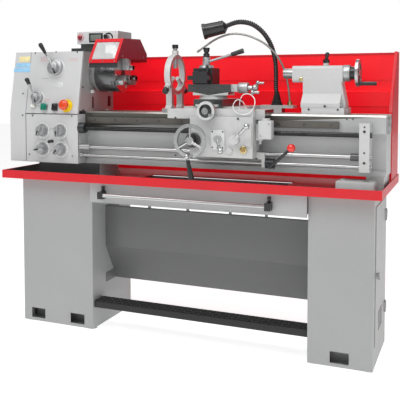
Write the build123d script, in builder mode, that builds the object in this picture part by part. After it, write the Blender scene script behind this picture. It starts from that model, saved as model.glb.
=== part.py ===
from build123d import *
import math
import os

os.makedirs("parts", exist_ok=True)

# ---------------------------------------------------------------- driving sizes (mm)
# Working frame: X along the bed (headstock at -X), Y = 0 on the spindle axis with the
# operator at -Y, Z = 0 on the floor.  The whole lathe is moved by ORIGIN_SHIFT at the end
# so that the origin lies under the middle of its bounding box.
ORIGIN_SHIFT = (0.0, -15.5, 0.0)

AX = 1177.0            # spindle axis height
BED_TOP = 1007.0       # height of the bed ways
BED_BOTTOM = 762.0
BED_HALF = 97.0        # half width over the ways
BED_X0, BED_X1 = -782.0, 874.0
TRAY_X0, TRAY_X1 = -879.0, 880.0
TRAY_Y0, TRAY_Y1 = -232.0, 332.0
TRAY_FLOOR = 695.0
TRAY_LIP = 728.0
CAB_Y0, CAB_Y1 = -185.0, 180.0
LCAB = (-794.0, -414.0)
RCAB = (587.0, 846.0)
SHEET = 3.0
HEAD_X0, HEAD_X1 = -788.0, -500.0   # headstock ends
HEAD_TOP = 1287.0
COVER_X0 = -879.0                   # end gear cover, outer face
ROD_Y = -145.0
LEAD_Z, FEED_Z, CTRL_Z = 931.0, 843.0, 804.0
LEAD_R, FEED_R, CTRL_R = 11.0, 9.5, 8.0
BRK_X0, BRK_X1 = 781.0, 821.0       # right-hand rod bracket
GEAR_M = 4.0                        # module of the toothed wheels
PANEL_P = (-165.0, 995.0)           # foot of the leaning control panel (y, z)
PANEL_D = (0.17532, 0.98451)        # its direction upwards
PANEL_N = (-0.98451, 0.17532)       # its outward normal
CMP_Y = -58.0                         # compound slide centre line
TP = (92.0, -45.0)                    # tool post axis (x, y)
COV_PIN = (-789.0, 241.0)             # end gear cover hinge (x, y)
DOOR_PIN = (RCAB[1] + 5.0, 141.0)     # cabinet door hinge (x, y)
PED_AX = (-108.0, 121.0)              # brake treadle pins (y, z)
GX_0, GX_1 = -452.0, -305.0           # chuck guard ends
GP_Y, GP_Z = 176.0, 1250.0            # chuck guard hinge


# ---------------------------------------------------------------- small shape helpers
def block(x0, x1, y0, y1, z0, z1, mode=Mode.ADD):
    with Locations(((x0 + x1) / 2, (y0 + y1) / 2, (z0 + z1) / 2)):
        Box(x1 - x0, y1 - y0, z1 - z0, mode=mode)


def cyl_x(x0, x1, y, z, r, mode=Mode.ADD):
    with Locations(Location(((x0 + x1) / 2, y, z), (0, 90, 0))):
        Cylinder(r, x1 - x0, mode=mode)


def cyl_y(x, y0, y1, z, r, mode=Mode.ADD):
    with Locations(Location((x, (y0 + y1) / 2, z), (90, 0, 0))):
        Cylinder(r, y1 - y0, mode=mode)


def cyl_z(x, y, z0, z1, r, mode=Mode.ADD):
    with Locations((x, y, (z0 + z1) / 2)):
        Cylinder(r, z1 - z0, mode=mode)


def ball(x, y, z, r, mode=Mode.ADD):
    with Locations((x, y, z)):
        Sphere(r, mode=mode)


def prism_x(x0, x1, pts, mode=Mode.ADD):
    """Closed (y, z) outline extruded from x0 to x1."""
    with BuildSketch(Plane.YZ.offset(x0)) as s:
        with BuildLine():
            Polyline(*pts, close=True)
        make_face()
    extrude(s.sketch, amount=x1 - x0, mode=mode)


def prism_y(y0, y1, pts, mode=Mode.ADD):
    """Closed (x, z) outline extruded from y0 to y1."""
    with BuildSketch(Plane.XZ.offset(-y1)) as s:
        with BuildLine():
            Polyline(*pts, close=True)
        make_face()
    extrude(s.sketch, amount=y1 - y0, mode=mode)


def prism_z(z0, z1, pts, mode=Mode.ADD):
    """Closed (x, y) outline extruded from z0 to z1."""
    with BuildSketch(Plane.XY.offset(z0)) as s:
        with BuildLine():
            Polyline(*pts, close=True)
        make_face()
    extrude(s.sketch, amount=z1 - z0, mode=mode)


def bar(p, q, r, mode=Mode.ADD, r2=None):
    """Round bar (or cone, with r2) between two points."""
    a, b = Vector(*p), Vector(*q)
    d = b - a
    pl = Plane(origin=a + d * 0.5, z_dir=d.normalized())
    with Locations(pl):
        if r2 is None:
            Cylinder(r, d.length, mode=mode)
        else:
            Cone(r, r2, d.length, mode=mode)


def panel(x, s, h=0.0):
    """Point on the leaning control panel: s up the slope, h proud of it."""
    return (x, PANEL_P[0] + PANEL_D[0] * s + PANEL_N[0] * h,
            PANEL_P[1] + PANEL_D[1] * s + PANEL_N[1] * h)


def stud(x, s, h0, h1, r, mode=Mode.ADD, r2=None):
    bar(panel(x, s, h0), panel(x, s, h1), r, mode, r2)


def gear_outline(teeth, phase_deg, cy, cz, thick=0.40):
    """Toothed wheel outline in (y, z); phase is the direction of one tooth's middle."""
    r = GEAR_M * teeth / 2
    p = 2 * math.pi / teeth
    ra, rf = r + 0.85 * GEAR_M, r - 1.15 * GEAR_M
    pts = []
    for i in range(teeth):
        c = math.radians(phase_deg) + i * p
        for rad, w in ((rf, 0.30), (ra, 0.11), (ra, -0.11), (rf, -0.30)):
            a = c - w * p * thick / 0.40
            pts.append((cy + rad * math.cos(a), cz + rad * math.sin(a)))
    return pts


def arc_radii(pts):
    """Largest tangent arcs at the corners of a route."""
    v = [Vector(*p) for p in pts]
    out = []
    for a, b, c in zip(v, v[1:], v[2:]):
        turn = math.radians((b - a).get_angle(c - b))
        out.append(0.45 * min((b - a).length, (c - b).length) / math.tan(turn / 2))
    return out


pieces = []            # (builder, label) in hand-over order


# ================================================================ stand
def fork_slots(x_list, y):
    for xc in x_list:
        block(xc - 38, xc + 38, y - 6, y + 6, 20, 67, Mode.SUBTRACT)


def feet_and_runner(cab, x_run, side):
    """Levelling feet on their bolts, and the angle iron that carries the chip drawer."""
    for x in (cab[0] + 25, cab[1] - 25):
        for y in (-150, 145):
            cyl_z(x, y, 0, 5.8, 22)
            cyl_z(x, y, 5.8, 52, 6.0)
            cyl_z(x, y, 10.2, 20, 11.0)
    a, b = sorted((x_run, x_run + side * 16))
    block(a, b, -150, 150, 606, 609)
    a, b = sorted((x_run, x_run + side * 3))
    block(a, b, -150, 150, 606, 640)


with BuildPart() as left_cabinet:
    block(LCAB[0], LCAB[1], CAB_Y0, CAB_Y1, 6, 690)
    block(LCAB[0] + SHEET, LCAB[1] - SHEET, CAB_Y0 + SHEET, CAB_Y1 - SHEET, 10, 687, Mode.SUBTRACT)
    block(LCAB[0] + 45, LCAB[1] - 45, CAB_Y0 + 70, CAB_Y1 - 70, 5, 11, Mode.SUBTRACT)
    for y in (CAB_Y0, CAB_Y1):
        fork_slots((LCAB[0] + 80, LCAB[1] - 84), y)
    with Locations(*[(x, y, 8) for x in (LCAB[0] + 25, LCAB[1] - 25) for y in (-150, 145)]):
        Cylinder(7.0, 10, mode=Mode.SUBTRACT)
    cyl_x(LCAB[1] - 5, LCAB[1] + 1, PED_AX[0], PED_AX[1], 10.06, Mode.SUBTRACT)
    feet_and_runner(LCAB, LCAB[1], 1)
pieces.append((left_cabinet, "left_cabinet"))


with BuildPart() as right_cabinet:
    block(RCAB[0], RCAB[1], CAB_Y0, CAB_Y1, 6, 690)
    block(RCAB[0] + SHEET, RCAB[1] - SHEET, CAB_Y0 + SHEET, CAB_Y1 - SHEET, 10, 687, Mode.SUBTRACT)
    block(RCAB[0] + 45, RCAB[1] - 45, CAB_Y0 + 70, CAB_Y1 - 70, 5, 11, Mode.SUBTRACT)
    for y in (CAB_Y0, CAB_Y1):
        fork_slots(((RCAB[0] + RCAB[1]) / 2,), y)
    with Locations(*[(x, y, 8) for x in (RCAB[0] + 25, RCAB[1] - 25) for y in (-150, 145)]):
        Cylinder(7.0, 10, mode=Mode.SUBTRACT)
    block(RCAB[1] - 4, RCAB[1] + 1, -130, 130, 95, 640, Mode.SUBTRACT)
    # hinge pins for the door
    for z in (160, 560):
        cyl_z(DOOR_PIN[0], DOOR_PIN[1], z, z + 40, 3.0)
        block(RCAB[1], DOOR_PIN[0], DOOR_PIN[1] - 2, DOOR_PIN[1] + 14, z - 12, z)
        block(RCAB[1], DOOR_PIN[0] + 3, DOOR_PIN[1] - 3, DOOR_PIN[1] + 3, z - 12, z)
    cyl_x(RCAB[0] - 1, RCAB[0] + 5, PED_AX[0], PED_AX[1], 10.06, Mode.SUBTRACT)
    feet_and_runner(RCAB, RCAB[0], -1)
pieces.append((right_cabinet, "right_cabinet"))

with BuildPart() as cabinet_door:
    block(RCAB[1] + 0.4, RCAB[1] + 2.4, -138, 134, 86, 649)
    block(RCAB[1] - 18, RCAB[1] + 0.4, -127, 127, 98, 101)
    block(RCAB[1] - 18, RCAB[1] + 0.4, -127, 127, 634, 637)
    block(RCAB[1] - 18, RCAB[1] + 0.4, -127, -124, 98, 637)
    for i in range(6):
        block(RCAB[1] - 1, RCAB[1] + 4, -60, 60, 130 + 14 * i, 136 + 14 * i, Mode.SUBTRACT)
    cyl_x(RCAB[1] + 2.4, RCAB[1] + 9, -112, 370, 13)
    block(RCAB[1] + 9, RCAB[1] + 14, -116, -108, 356, 384)
    # hinge knuckles
    for z in (160, 560):
        cyl_z(DOOR_PIN[0], DOOR_PIN[1], z + 1, z + 36, 5.0)
        block(RCAB[1] + 2.4, DOOR_PIN[0], 118, DOOR_PIN[1], z + 1, z + 36)
        cyl_z(DOOR_PIN[0], DOOR_PIN[1], z, z + 40, 3.06, Mode.SUBTRACT)
pieces.append((cabinet_door, "cabinet_door"))




with BuildPart() as chip_tray:
    block(TRAY_X0, TRAY_X1, TRAY_Y0, TRAY_Y1, 690.3, TRAY_LIP)
    block(TRAY_X0 + SHEET, TRAY_X1 - SHEET, TRAY_Y0 + SHEET, TRAY_Y1 - SHEET, TRAY_FLOOR, TRAY_LIP + 1, Mode.SUBTRACT)
    for y0, y1 in ((TRAY_Y0, TRAY_Y0 + 10), (TRAY_Y1 - 10, TRAY_Y1)):
        block(TRAY_X0, TRAY_X1, y0, y1, TRAY_LIP - 3, TRAY_LIP)
    block(TRAY_X0, TRAY_X0 + 10, TRAY_Y0, TRAY_Y1, TRAY_LIP - 3, TRAY_LIP)
    block(-250, 450, -120, 120, 689, 696, Mode.SUBTRACT)
pieces.append((chip_tray, "chip_tray"))


DR_X0, DR_X1 = LCAB[1] + 4, RCAB[0] - 4
with BuildPart() as chip_drawer:
    block(DR_X0, DR_X1, -196, 150, 610, 684)
    block(DR_X0 + 2, DR_X1 - 2, -194, 148, 612, 685, Mode.SUBTRACT)
    block(LCAB[1] + 1.2, RCAB[0] - 1.2, -206, -196, 600, 688)
    block(LCAB[1] + 3.2, RCAB[0] - 3.2, -204, -195, 602, 686, Mode.SUBTRACT)
    block(DR_X0, DR_X1, -204, -194, 609.9, 612)
    block(LCAB[1] + 1.2, RCAB[0] - 1.2, -206, -204, 600, 688)
    # pull bar in its end blocks
    cyl_x(-330, 423, -232, 638, 9)
    for x in (-352, 421):
        block(x, x + 24, -244, -206, 622, 654)
pieces.append((chip_drawer, "chip_drawer"))


with BuildPart() as splash_trough:
    x0, x1 = LCAB[1] + 0.3, RCAB[0] - 0.3
    prism_x(x0, x1, [(-67, 560), (-67, 371), (35, 193), (120, 193), (120, 196), (37, 196), (-64, 372), (-64, 560)])
    prism_x(x0, x1, [(-67, 560), (-67, 557), (-40, 557), (-40, 560)])
    block(x0, x0 + 3, -64, 120, 196, 240)
    block(x1 - 3, x1, -64, 120, 196, 240)
    prism_x(x0, x0 + 3, [(-64, 560), (-64, 372), (37, 196), (60, 196), (60, 560)])
    prism_x(x1 - 3, x1, [(-64, 560), (-64, 372), (37, 196), (60, 196), (60, 560)])
    # hanger brackets
    for x in (-190, 2, 205, 370):
        block(x, x + 10, -64, -52, 560.2, 596)
        block(x, x + 10, -64, 30, 593, 596)
pieces.append((splash_trough, "splash_trough"))


# foot brake: a wide treadle bar rocking on a pin in each cabinet
with BuildPart() as brake_treadle:
    prism_x(LCAB[1] + 3, RCAB[0] - 3, [(-176, 108), (-176, 131), (-173, 135), (-97, 137), (-95, 134), (-95, 110), (-98, 107), (-172, 105)])
    cyl_x(LCAB[1] - 2.9, RCAB[0] + 2.9, PED_AX[0], PED_AX[1], 10)
pieces.append((brake_treadle, "brake_treadle"))

# ================================================================ bed
with BuildPart() as bed:
    for s in (-1, 1):
        prism_x(BED_X0, BED_X1, [(s * y, z) for y, z in (
            (97, 935), (97, 1000), (90, BED_TOP), (60, BED_TOP), (52, 1000), (44, BED_TOP), (38, BED_TOP),
            (38, 985), (58, 960), (58, 790), (40, 780), (40, BED_BOTTOM), (90, BED_BOTTOM), (90, 782), (74, 790), (74, 925), (88, 935))])
    for x in (BED_X0, -560, -360, -160, 40, 240, 440, 640, BED_X1 - 14):
        block(x, x + 14, -60, 60, BED_BOTTOM, 930)
    # foot pillars standing on the chip tray
    for x0, x1 in ((-770, -430), (798, 868)):
        block(x0, x1, -88, 88, TRAY_FLOOR + 14, 770)
        block(x0 - 6, min(x1 + 6, 872), -94, 94, TRAY_FLOOR + 0.2, TRAY_FLOOR + 14)
        block(x0 + 16, x1 - 16, -72, 72, TRAY_FLOOR - 1, BED_BOTTOM - 2, Mode.SUBTRACT)
    # front machined pads for the gearbox and the rod bracket
    block(HEAD_X0, HEAD_X1, -97, -70, 790, 940)
    block(BRK_X0, BRK_X1, -97, -70, 790, 976)
    # pad under the steady and tailstock clamp is the open middle slot
    with Locations(*[(x, y, TRAY_FLOOR + 7) for x in (-750, -450) for y in (-80, 80)]):
        Cylinder(7, 16, mode=Mode.SUBTRACT)
    # feed rack and its screws
    block(-480, 690, -112, -97.1, 953, 981)
    with Locations(*[(x, -112, 967) for x in range(-440, 690, 110)]):
        Box(12, 3, 12, mode=Mode.SUBTRACT)
    for x in range(-440, 690, 110):
        cyl_y(x, -112.4, -110.6, 967, 4.5)
    # right-hand bracket of the three rods
    block(BRK_X0, BRK_X1, -165, -97.2, 786, 978)
    for z, r in ((LEAD_Z, LEAD_R), (FEED_Z, FEED_R), (CTRL_Z, CTRL_R)):
        cyl_x(BRK_X0 - 1, BRK_X1 + 1, ROD_Y, z, r + 0.06, Mode.SUBTRACT)
    for z in (964, 946, 863, 823):
        cyl_y(801, -166, -150, z, 6.0 if z in (946, 823) else 4.0, Mode.SUBTRACT)
pieces.append((bed, "bed"))




IN_Y = 90.0
IN_Z = AX - math.sqrt((GEAR_M * 28) ** 2 - IN_Y ** 2)   # input shaft, 112 mm from the spindle
# gear train from the spindle's tail to the feed gearbox
G_Y, G_Z = -112.0, 905.0
T_SP, T_ID, T_GB = 28, 50, 20
R1, R2 = GEAR_M * (T_SP + T_ID) / 2, GEAR_M * (T_ID + T_GB) / 2
dx, dz = G_Y - 0.0, G_Z - AX
dist = math.hypot(dx, dz)
along = (R1 ** 2 - R2 ** 2 + dist ** 2) / (2 * dist)
off = math.sqrt(R1 ** 2 - along ** 2)
ux, uz = dx / dist, dz / dist
I_Y, I_Z = ux * along + uz * -off, AX + uz * along + ux * off
ang_si = math.degrees(math.atan2(I_Z - AX, I_Y))                  # spindle -> idler
ang_ig = math.degrees(math.atan2(G_Z - I_Z, G_Y - I_Y))           # idler -> gearbox gear
ang_sb = math.degrees(math.atan2(IN_Z - AX, IN_Y))                # spindle -> input shaft
T_BULL, T_IN = 38, 18
GX0, GX1 = -830.0, -816.0
PUL_X0, PUL_X1 = -868.0, -844.0       # V pulleys
M_Y, M_Z = 178.0, 880.0               # motor axis
bd = math.hypot(M_Y - IN_Y, M_Z - IN_Z)
print("idler at", I_Y, I_Z, "input shaft at", IN_Y, IN_Z)

# ================================================================ headstock
with BuildPart() as headstock_casting:
    prism_x(HEAD_X0, HEAD_X1, [(-150, BED_TOP + 3), (-103, 1281), (165, 1281), (165, BED_TOP + 0.3), (-97, BED_TOP + 0.3), (-99, BED_TOP + 3)])
    prism_x(HEAD_X0 + 26, HEAD_X1 - 26, [(-126, 1022), (-86, 1262), (145, 1262), (145, 1022)], Mode.SUBTRACT)
    cyl_x(HEAD_X0 - 1, HEAD_X0 + 27, 0, AX, 47, Mode.SUBTRACT)
    cyl_x(HEAD_X1 - 27, HEAD_X1 + 1, 0, AX, 55, Mode.SUBTRACT)
    cyl_x(HEAD_X0 - 1, HEAD_X0 + 27, IN_Y, IN_Z, 12.06, Mode.SUBTRACT)
    cyl_x(HEAD_X1 - 27, HEAD_X1 - 10, IN_Y, IN_Z, 12.06, Mode.SUBTRACT)
    # lid
    block(HEAD_X0, HEAD_X1, -108, 164, 1281.2, HEAD_TOP)
    # chuck guard hinge pin in its boss
    cyl_x(HEAD_X1 - 40, GX_0 + 66, GP_Y, GP_Z, 8)
    block(HEAD_X1 - 40, HEAD_X1 - 2, 165.1, GP_Y + 12, GP_Z - 14, GP_Z + 14)
pieces.append((headstock_casting, "headstock_casting"))


with BuildPart() as control_panel:
    a, b = PANEL_P, (PANEL_P[0] + PANEL_D[0] * 296, PANEL_P[1] + PANEL_D[1] * 296)
    t = 4.0
    prism_x(HEAD_X0, HEAD_X1, [a, b, (b[0] - PANEL_N[0] * t, b[1] - PANEL_N[1] * t - 0.2), (a[0] - PANEL_N[0] * t, a[1] - PANEL_N[1] * t)])
    for x in (HEAD_X0, HEAD_X1 - 3):
        prism_x(x, x + 3, [(-161, 996), (-113, 1281), (-104, 1281), (-151, 1012), (-151, 996)])
    for x, s in ((-638, 218), (-724, 74)):
        stud(x, s, -6, 1, 8.06, Mode.SUBTRACT)
    for x, s in ((-748, 38), (-682, 33), (-623, 33), (-560, 38)):
        stud(x, s, -10, 5, 9.2, Mode.SUBTRACT)
    # fixed bezels, power lamp and the collar of the stop button
    for x, s in ((-748, 38), (-682, 33), (-623, 33)):
        stud(x, s, 0.2, 4, 15)
        stud(x, s, -1, 5, 9.4, Mode.SUBTRACT)
    stud(-748, 38, 0.2, 9, 9.0)
    stud(-560, 38, 0.2, 3.0, 31)
    stud(-560, 38, 3.0, 14, 17)
    stud(-560, 38, -1, 15, 9.4, Mode.SUBTRACT)
pieces.append((control_panel, "control_panel"))

with BuildPart() as gearbox_housing:
    block(HEAD_X0, HEAD_X1, -165, -97.2, 765, 994.0)
    block(HEAD_X0 + 12, HEAD_X1 - 12, -160, -96, 777, 983, Mode.SUBTRACT)
    cyl_x(HEAD_X0 - 1, HEAD_X0 + 13, G_Y, G_Z, 12.06, Mode.SUBTRACT)
    for z, r in ((LEAD_Z, LEAD_R), (FEED_Z, FEED_R), (CTRL_Z, CTRL_R)):
        cyl_x(HEAD_X1 - 14, HEAD_X1 + 1, ROD_Y, z, r + 0.06, Mode.SUBTRACT)
    for x, z in ((-692, 916), (-592, 916), (-692, 829), (-592, 829)):
        cyl_y(x, -166, -159, z, 8.06, Mode.SUBTRACT)
pieces.append((gearbox_housing, "gearbox_housing"))


with BuildPart() as end_gear_cover:
    outer = [(-165, 765), (-165, 995), (-113, HEAD_TOP), (165, HEAD_TOP), (235, 1010), (235, 765)]
    inner = [(-162.5, 767.5), (-162.5, 995.2), (-110.9, HEAD_TOP - 2.5), (163, HEAD_TOP - 2.5), (232.5, 1009.6), (232.5, 767.5)]
    prism_x(COVER_X0, HEAD_X0 - 2.5, outer)
    prism_x(COVER_X0 + 2.5, HEAD_X0, inner, Mode.SUBTRACT)
    # hole for bar stock opposite the spindle
    cyl_x(COVER_X0 - 1, COVER_X0 + 4, 0, AX, 27, Mode.SUBTRACT)
    for z in (800, 950):
        block(HEAD_X0 - 10, COV_PIN[0], 234, COV_PIN[1], z + 1, z + 30)
        cyl_z(COV_PIN[0], COV_PIN[1], z + 1, z + 30, 5.0)
        cyl_z(COV_PIN[0], COV_PIN[1], z, z + 34, 3.06, Mode.SUBTRACT)
pieces.append((end_gear_cover, "end_gear_cover"))

with BuildPart() as end_cover_backplate:
    prism_x(HEAD_X0 - 2.2, HEAD_X0 - 0.2, [(-160, 770), (-160, 993), (-109, 1282), (160, 1282), (230, 1006), (230, 770)])
    cyl_x(HEAD_X0 - 3, HEAD_X0 + 1, 0, AX, 46, Mode.SUBTRACT)
    cyl_x(HEAD_X0 - 3, HEAD_X0 + 1, IN_Y, IN_Z, 14, Mode.SUBTRACT)
    cyl_x(HEAD_X0 - 3, HEAD_X0 + 1, 178, 880, 16, Mode.SUBTRACT)
    cyl_x(HEAD_X0 - 3, HEAD_X0 + 1, G_Y, G_Z, 12.06, Mode.SUBTRACT)
    for z in (800, 950):
        cyl_z(COV_PIN[0], COV_PIN[1], z, z + 34, 3.0)
        block(HEAD_X0 - 2.2, HEAD_X0 + 3, 229, COV_PIN[1] + 3, z - 10, z)
    # quadrant arm and stud of the idler
    cyl_x(GX0 - 6, HEAD_X0 - 2.4, I_Y, I_Z, 10)
    prism_x(-806, HEAD_X0 - 2.4, [(I_Y - 18, I_Z + 18), (I_Y + 18, I_Z + 18), (I_Y + 18, I_Z - 60), (I_Y - 18, I_Z - 60)])
pieces.append((end_cover_backplate, "end_cover_backplate"))


with BuildPart() as idler_gear:
    prism_x(GX0, GX1, gear_outline(T_ID, ang_si + 180 + 180 / T_ID, I_Y, I_Z))
    cyl_x(GX0 - 4, GX1 + 4, I_Y, I_Z, 18)
    cyl_x(GX0 - 5, GX1 + 5, I_Y, I_Z, 10.06, Mode.SUBTRACT)
pieces.append((idler_gear, "idler_gear"))

# the gearbox wheel needs a gap where the idler has a tooth
pitch_i = 360 / T_ID
i_phase = ((ang_ig - (ang_si + 180 + 180 / T_ID)) / pitch_i) % 1.0    # 0: idler tooth on the line
g_phase = ang_ig + 180 + (0.5 + i_phase) * 360 / T_GB
with BuildPart() as gearbox_input_gear:
    prism_x(GX0, GX1, gear_outline(T_GB, g_phase, G_Y, G_Z))
    cyl_x(GX0 - 4, -783, G_Y, G_Z, 12)
pieces.append((gearbox_input_gear, "gearbox_input_gear"))

with BuildPart() as input_shaft:
    prism_x(-700, -676, gear_outline(T_IN, ang_sb + 180 + 180 / T_IN, IN_Y, IN_Z))
    cyl_x(-868, HEAD_X1 - 12, IN_Y, IN_Z, 12)
    # two-groove V pulley
    cyl_x(PUL_X0, PUL_X1, IN_Y, IN_Z, 74)
    for x in (-861, -851):
        cyl_x(x - 3, x + 3, IN_Y, IN_Z, 90, Mode.SUBTRACT)
        cyl_x(x - 3, x + 3, IN_Y, IN_Z, 66)
pieces.append((input_shaft, "input_shaft"))


with BuildPart() as motor_pulley:
    cyl_x(PUL_X0, PUL_X1, M_Y, M_Z, 42)
    for x in (-861, -851):
        cyl_x(x - 3, x + 3, M_Y, M_Z, 60, Mode.SUBTRACT)
        cyl_x(x - 3, x + 3, M_Y, M_Z, 34)
    cyl_x(-870, -560, M_Y, M_Z, 11)
pieces.append((motor_pulley, "motor_pulley"))


with BuildPart() as motor:
    cyl_x(-760, -520, M_Y, M_Z, 74)
    cyl_x(-786, -760, M_Y, M_Z, 52)
    cyl_x(-520, -505, M_Y, M_Z, 64)
    for a in range(0, 360, 15):
        with Locations(Location((-640, M_Y, M_Z), (a, 0, 0))):
            with Locations((0, 0, 76)):
                Box(200, 3, 8)
    block(-700, -600, M_Y + 60, M_Y + 96, M_Z - 10, M_Z + 60)
    block(-760, -540, 97.5, M_Y, M_Z - 84, M_Z - 66)
    block(-760, -540, 97.5, 110, M_Z - 84, M_Z + 40)
    cyl_x(-787, -559, M_Y, M_Z, 11.3, Mode.SUBTRACT)
    # pair of V belts
    for x in (-861, -851):
        pl = Plane(origin=(x - 2.5, IN_Y, IN_Z), x_dir=(0, (M_Y - IN_Y) / bd, (M_Z - IN_Z) / bd), z_dir=(1, 0, 0))
        ca = (72.0 - 40.0) / bd
        sa = math.sqrt(1 - ca * ca)
        for d_out, md in ((5.6, Mode.ADD), (0.4, Mode.SUBTRACT)):
            ra, rb = 66.0 + d_out, 34.0 + d_out
            with BuildSketch(pl) as s:
                Circle(ra)
                with Locations((bd, 0)):
                    Circle(rb)
                with BuildLine():
                    Polyline((ra * ca, ra * sa), (bd + rb * ca, rb * sa), (bd + rb * ca, -rb * sa), (ra * ca, -ra * sa), close=True)
                make_face()
            if md == Mode.ADD:
                extrude(s.sketch, amount=5.0)
            else:
                extrude(s.sketch, amount=5.0, mode=Mode.SUBTRACT)
pieces.append((motor, "motor"))

# ================================================================ spindle and chuck
NOSE = -462.0
with BuildPart() as spindle:
    cyl_x(-838, HEAD_X1 + 2, 0, AX, 30)
    cyl_x(HEAD_X1 - 50, HEAD_X1 + 2, 0, AX, 36)
    cyl_x(HEAD_X1 + 2, NOSE - 14, 0, AX, 66)
    prism_x(-700, -676, gear_outline(T_BULL, ang_sb, 0, AX))
    cyl_x(-840, NOSE, 0, AX, 19, Mode.SUBTRACT)
    # wheel for the feed train
    prism_x(GX0, GX1, gear_outline(T_SP, ang_si, 0, AX))
    cyl_x(GX0 - 4, GX1 + 4, 0, AX, 38)
    cyl_x(-840, NOSE, 0, AX, 19, Mode.SUBTRACT)
pieces.append((spindle, "spindle"))


with BuildPart() as spindle_bearings:
    cyl_x(HEAD_X0 + 2, HEAD_X0 + 24, 0, AX, 47)
    cyl_x(HEAD_X0 + 1, HEAD_X0 + 25, 0, AX, 30.06, Mode.SUBTRACT)
    cyl_x(HEAD_X1 - 25, HEAD_X1 - 1, 0, AX, 55)
    cyl_x(HEAD_X1 - 26, HEAD_X1, 0, AX, 36.06, Mode.SUBTRACT)
pieces.append((spindle_bearings, "spindle_bearings"))


CH0, CH1 = NOSE, -352.0
JAWS = (90, 210, 330)
with BuildPart() as chuck_body:
    cyl_x(CH0, CH1, 0, AX, 80)
    cyl_x(CH0 - 1, CH1 + 1, 0, AX, 21, Mode.SUBTRACT)
    for a in JAWS:
        with Locations(Location((0, 0, AX), (a, 0, 0))):
            with Locations(((CH1 - 12), 51, 0)):
                Box(26, 100, 22.8, mode=Mode.SUBTRACT)
    for a in (30, 150, 270):
        ca, sa = math.cos(math.radians(a)), math.sin(math.radians(a))
        bar((CH0 + 40, 68 * ca, AX + 68 * sa), (CH0 + 40, 82 * ca, AX + 82 * sa), 7, Mode.SUBTRACT)
    # adapter plate
    cyl_x(NOSE - 14, NOSE, 0, AX, 77)
    cyl_x(NOSE - 15, NOSE + 1, 0, AX, 21, Mode.SUBTRACT)
pieces.append((chuck_body, "chuck_body"))


def jaw(angle):
    c, s = math.cos(math.radians(angle)), math.sin(math.radians(angle))
    pl = Plane(origin=(0, 0, AX), x_dir=(0, c, s), z_dir=(1, 0, 0))

    def seg(x0, x1, r0, r1, w):
        with BuildSketch(pl.offset(x0)) as sk:
            with Locations(((r0 + r1) / 2, 0)):
                Rectangle(r1 - r0, w)
        extrude(sk.sketch, amount=x1 - x0)
    seg(CH1 - 24, CH1 + 14, 22, 78, 22)
    seg(CH1 + 14, CH1 + 36, 22, 66, 22)
    seg(CH1 + 36, CH1 + 56, 22, 44, 22)


with BuildPart() as chuck_jaw_1:
    jaw(JAWS[0])
with BuildPart() as chuck_jaw_2:
    jaw(JAWS[1])
with BuildPart() as chuck_jaw_3:
    jaw(JAWS[2])
pieces += [(chuck_jaw_1, "chuck_jaw_1"), (chuck_jaw_2, "chuck_jaw_2"), (chuck_jaw_3, "chuck_jaw_3")]

# chuck guard: bent sheet frame with a clear sloping window, hinged at the back
guard_out = [(-141, 1240), (-141, 1246), (-77, 1343), (88, 1349), (158, 1280), (158, 1268), (86, 1338), (-74, 1336), (-136, 1243), (-136, 1240)]
with BuildPart() as chuck_guard:
    # end plate towards the tailstock, rim strip and rear flap
    prism_x(GX_1 - 3, GX_1, [(-141, 1240), (-141, 1246), (-77, 1343), (88, 1349), (158, 1280), (158, 1251), (-112, 1251), (-120, 1240)])
    prism_x(GX_0, GX_1, [(88, 1349), (158, 1280), (158, 1240), (155, 1240), (155, 1279), (87, 1346)])
    prism_x(GX_0, GX_1, [(-141, 1230), (-141, 1246), (-138, 1246), (-138, 1230)])
    prism_x(GX_0, GX_1, [(-86.6, 1328.4), (-77, 1343), (88, 1349), (88, 1346), (-75, 1340), (-84.1, 1326.75)])
    prism_x(GX_0, GX_0 + 14, [(-141, 1246), (-77, 1343), (-74.6, 1341.3), (-138, 1245)])
    prism_x(GX_1 - 14, GX_1, [(-141, 1246), (-77, 1343), (-74.6, 1341.3), (-138, 1245)])
    # hinge arm
    block(GX_0 + 30, GX_0 + 60, 155, GP_Y, GP_Z - 8, GP_Z + 30)
    cyl_x(GX_0 + 30, GX_0 + 60, GP_Y, GP_Z, 12)
    cyl_x(GX_0 + 29, GX_0 + 61, GP_Y, GP_Z, 8.06, Mode.SUBTRACT)
pieces.append((chuck_guard, "chuck_guard"))

with BuildPart() as guard_window:
    prism_x(GX_0 + 14, GX_1 - 14, [(-139.4, 1248.4), (-88.4, 1325.7), (-85.9, 1324.05), (-136.9, 1246.75)])
pieces.append((guard_window, "guard_window"))


# ================================================================ controls on the headstock
def panel_lever(x, s, tip_x, tip_s, hub_r, grip):
    stud(x, s, -7.5, 1.0, 8)
    stud(x, s, 1.0, 20, hub_r)
    stud(x, s, 20, 37, hub_r * 0.62)
    a, b = Vector(*panel(x, s, 28)), Vector(*panel(tip_x, tip_s, 50))
    m = a + (b - a) * 0.45
    bar(tuple(a), tuple(m), 6, r2=4.5)
    bar(tuple(m), tuple(b), 4.5)
    g = a + (b - a) * grip
    bar(tuple(g), tuple(b), 6.5, r2=11)
    ball(b.X, b.Y, b.Z, 11)


with BuildPart() as speed_lever_upper:
    panel_lever(-638, 218, -703, 318, 38, 0.62)
pieces.append((speed_lever_upper, "speed_lever_upper"))
with BuildPart() as speed_lever_lower:
    panel_lever(-724, 74, -762, 152, 28, 0.55)
pieces.append((speed_lever_lower, "speed_lever_lower"))


def selector(x, z):
    cyl_y(x, -172, -145, z, 8)
    cyl_y(x, -194, -166.5, z, 24)
    cyl_y(x, -172, -166.5, z, 31)
    block(x - 6, x + 6, -207, -190, z - 26, z + 26)


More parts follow.
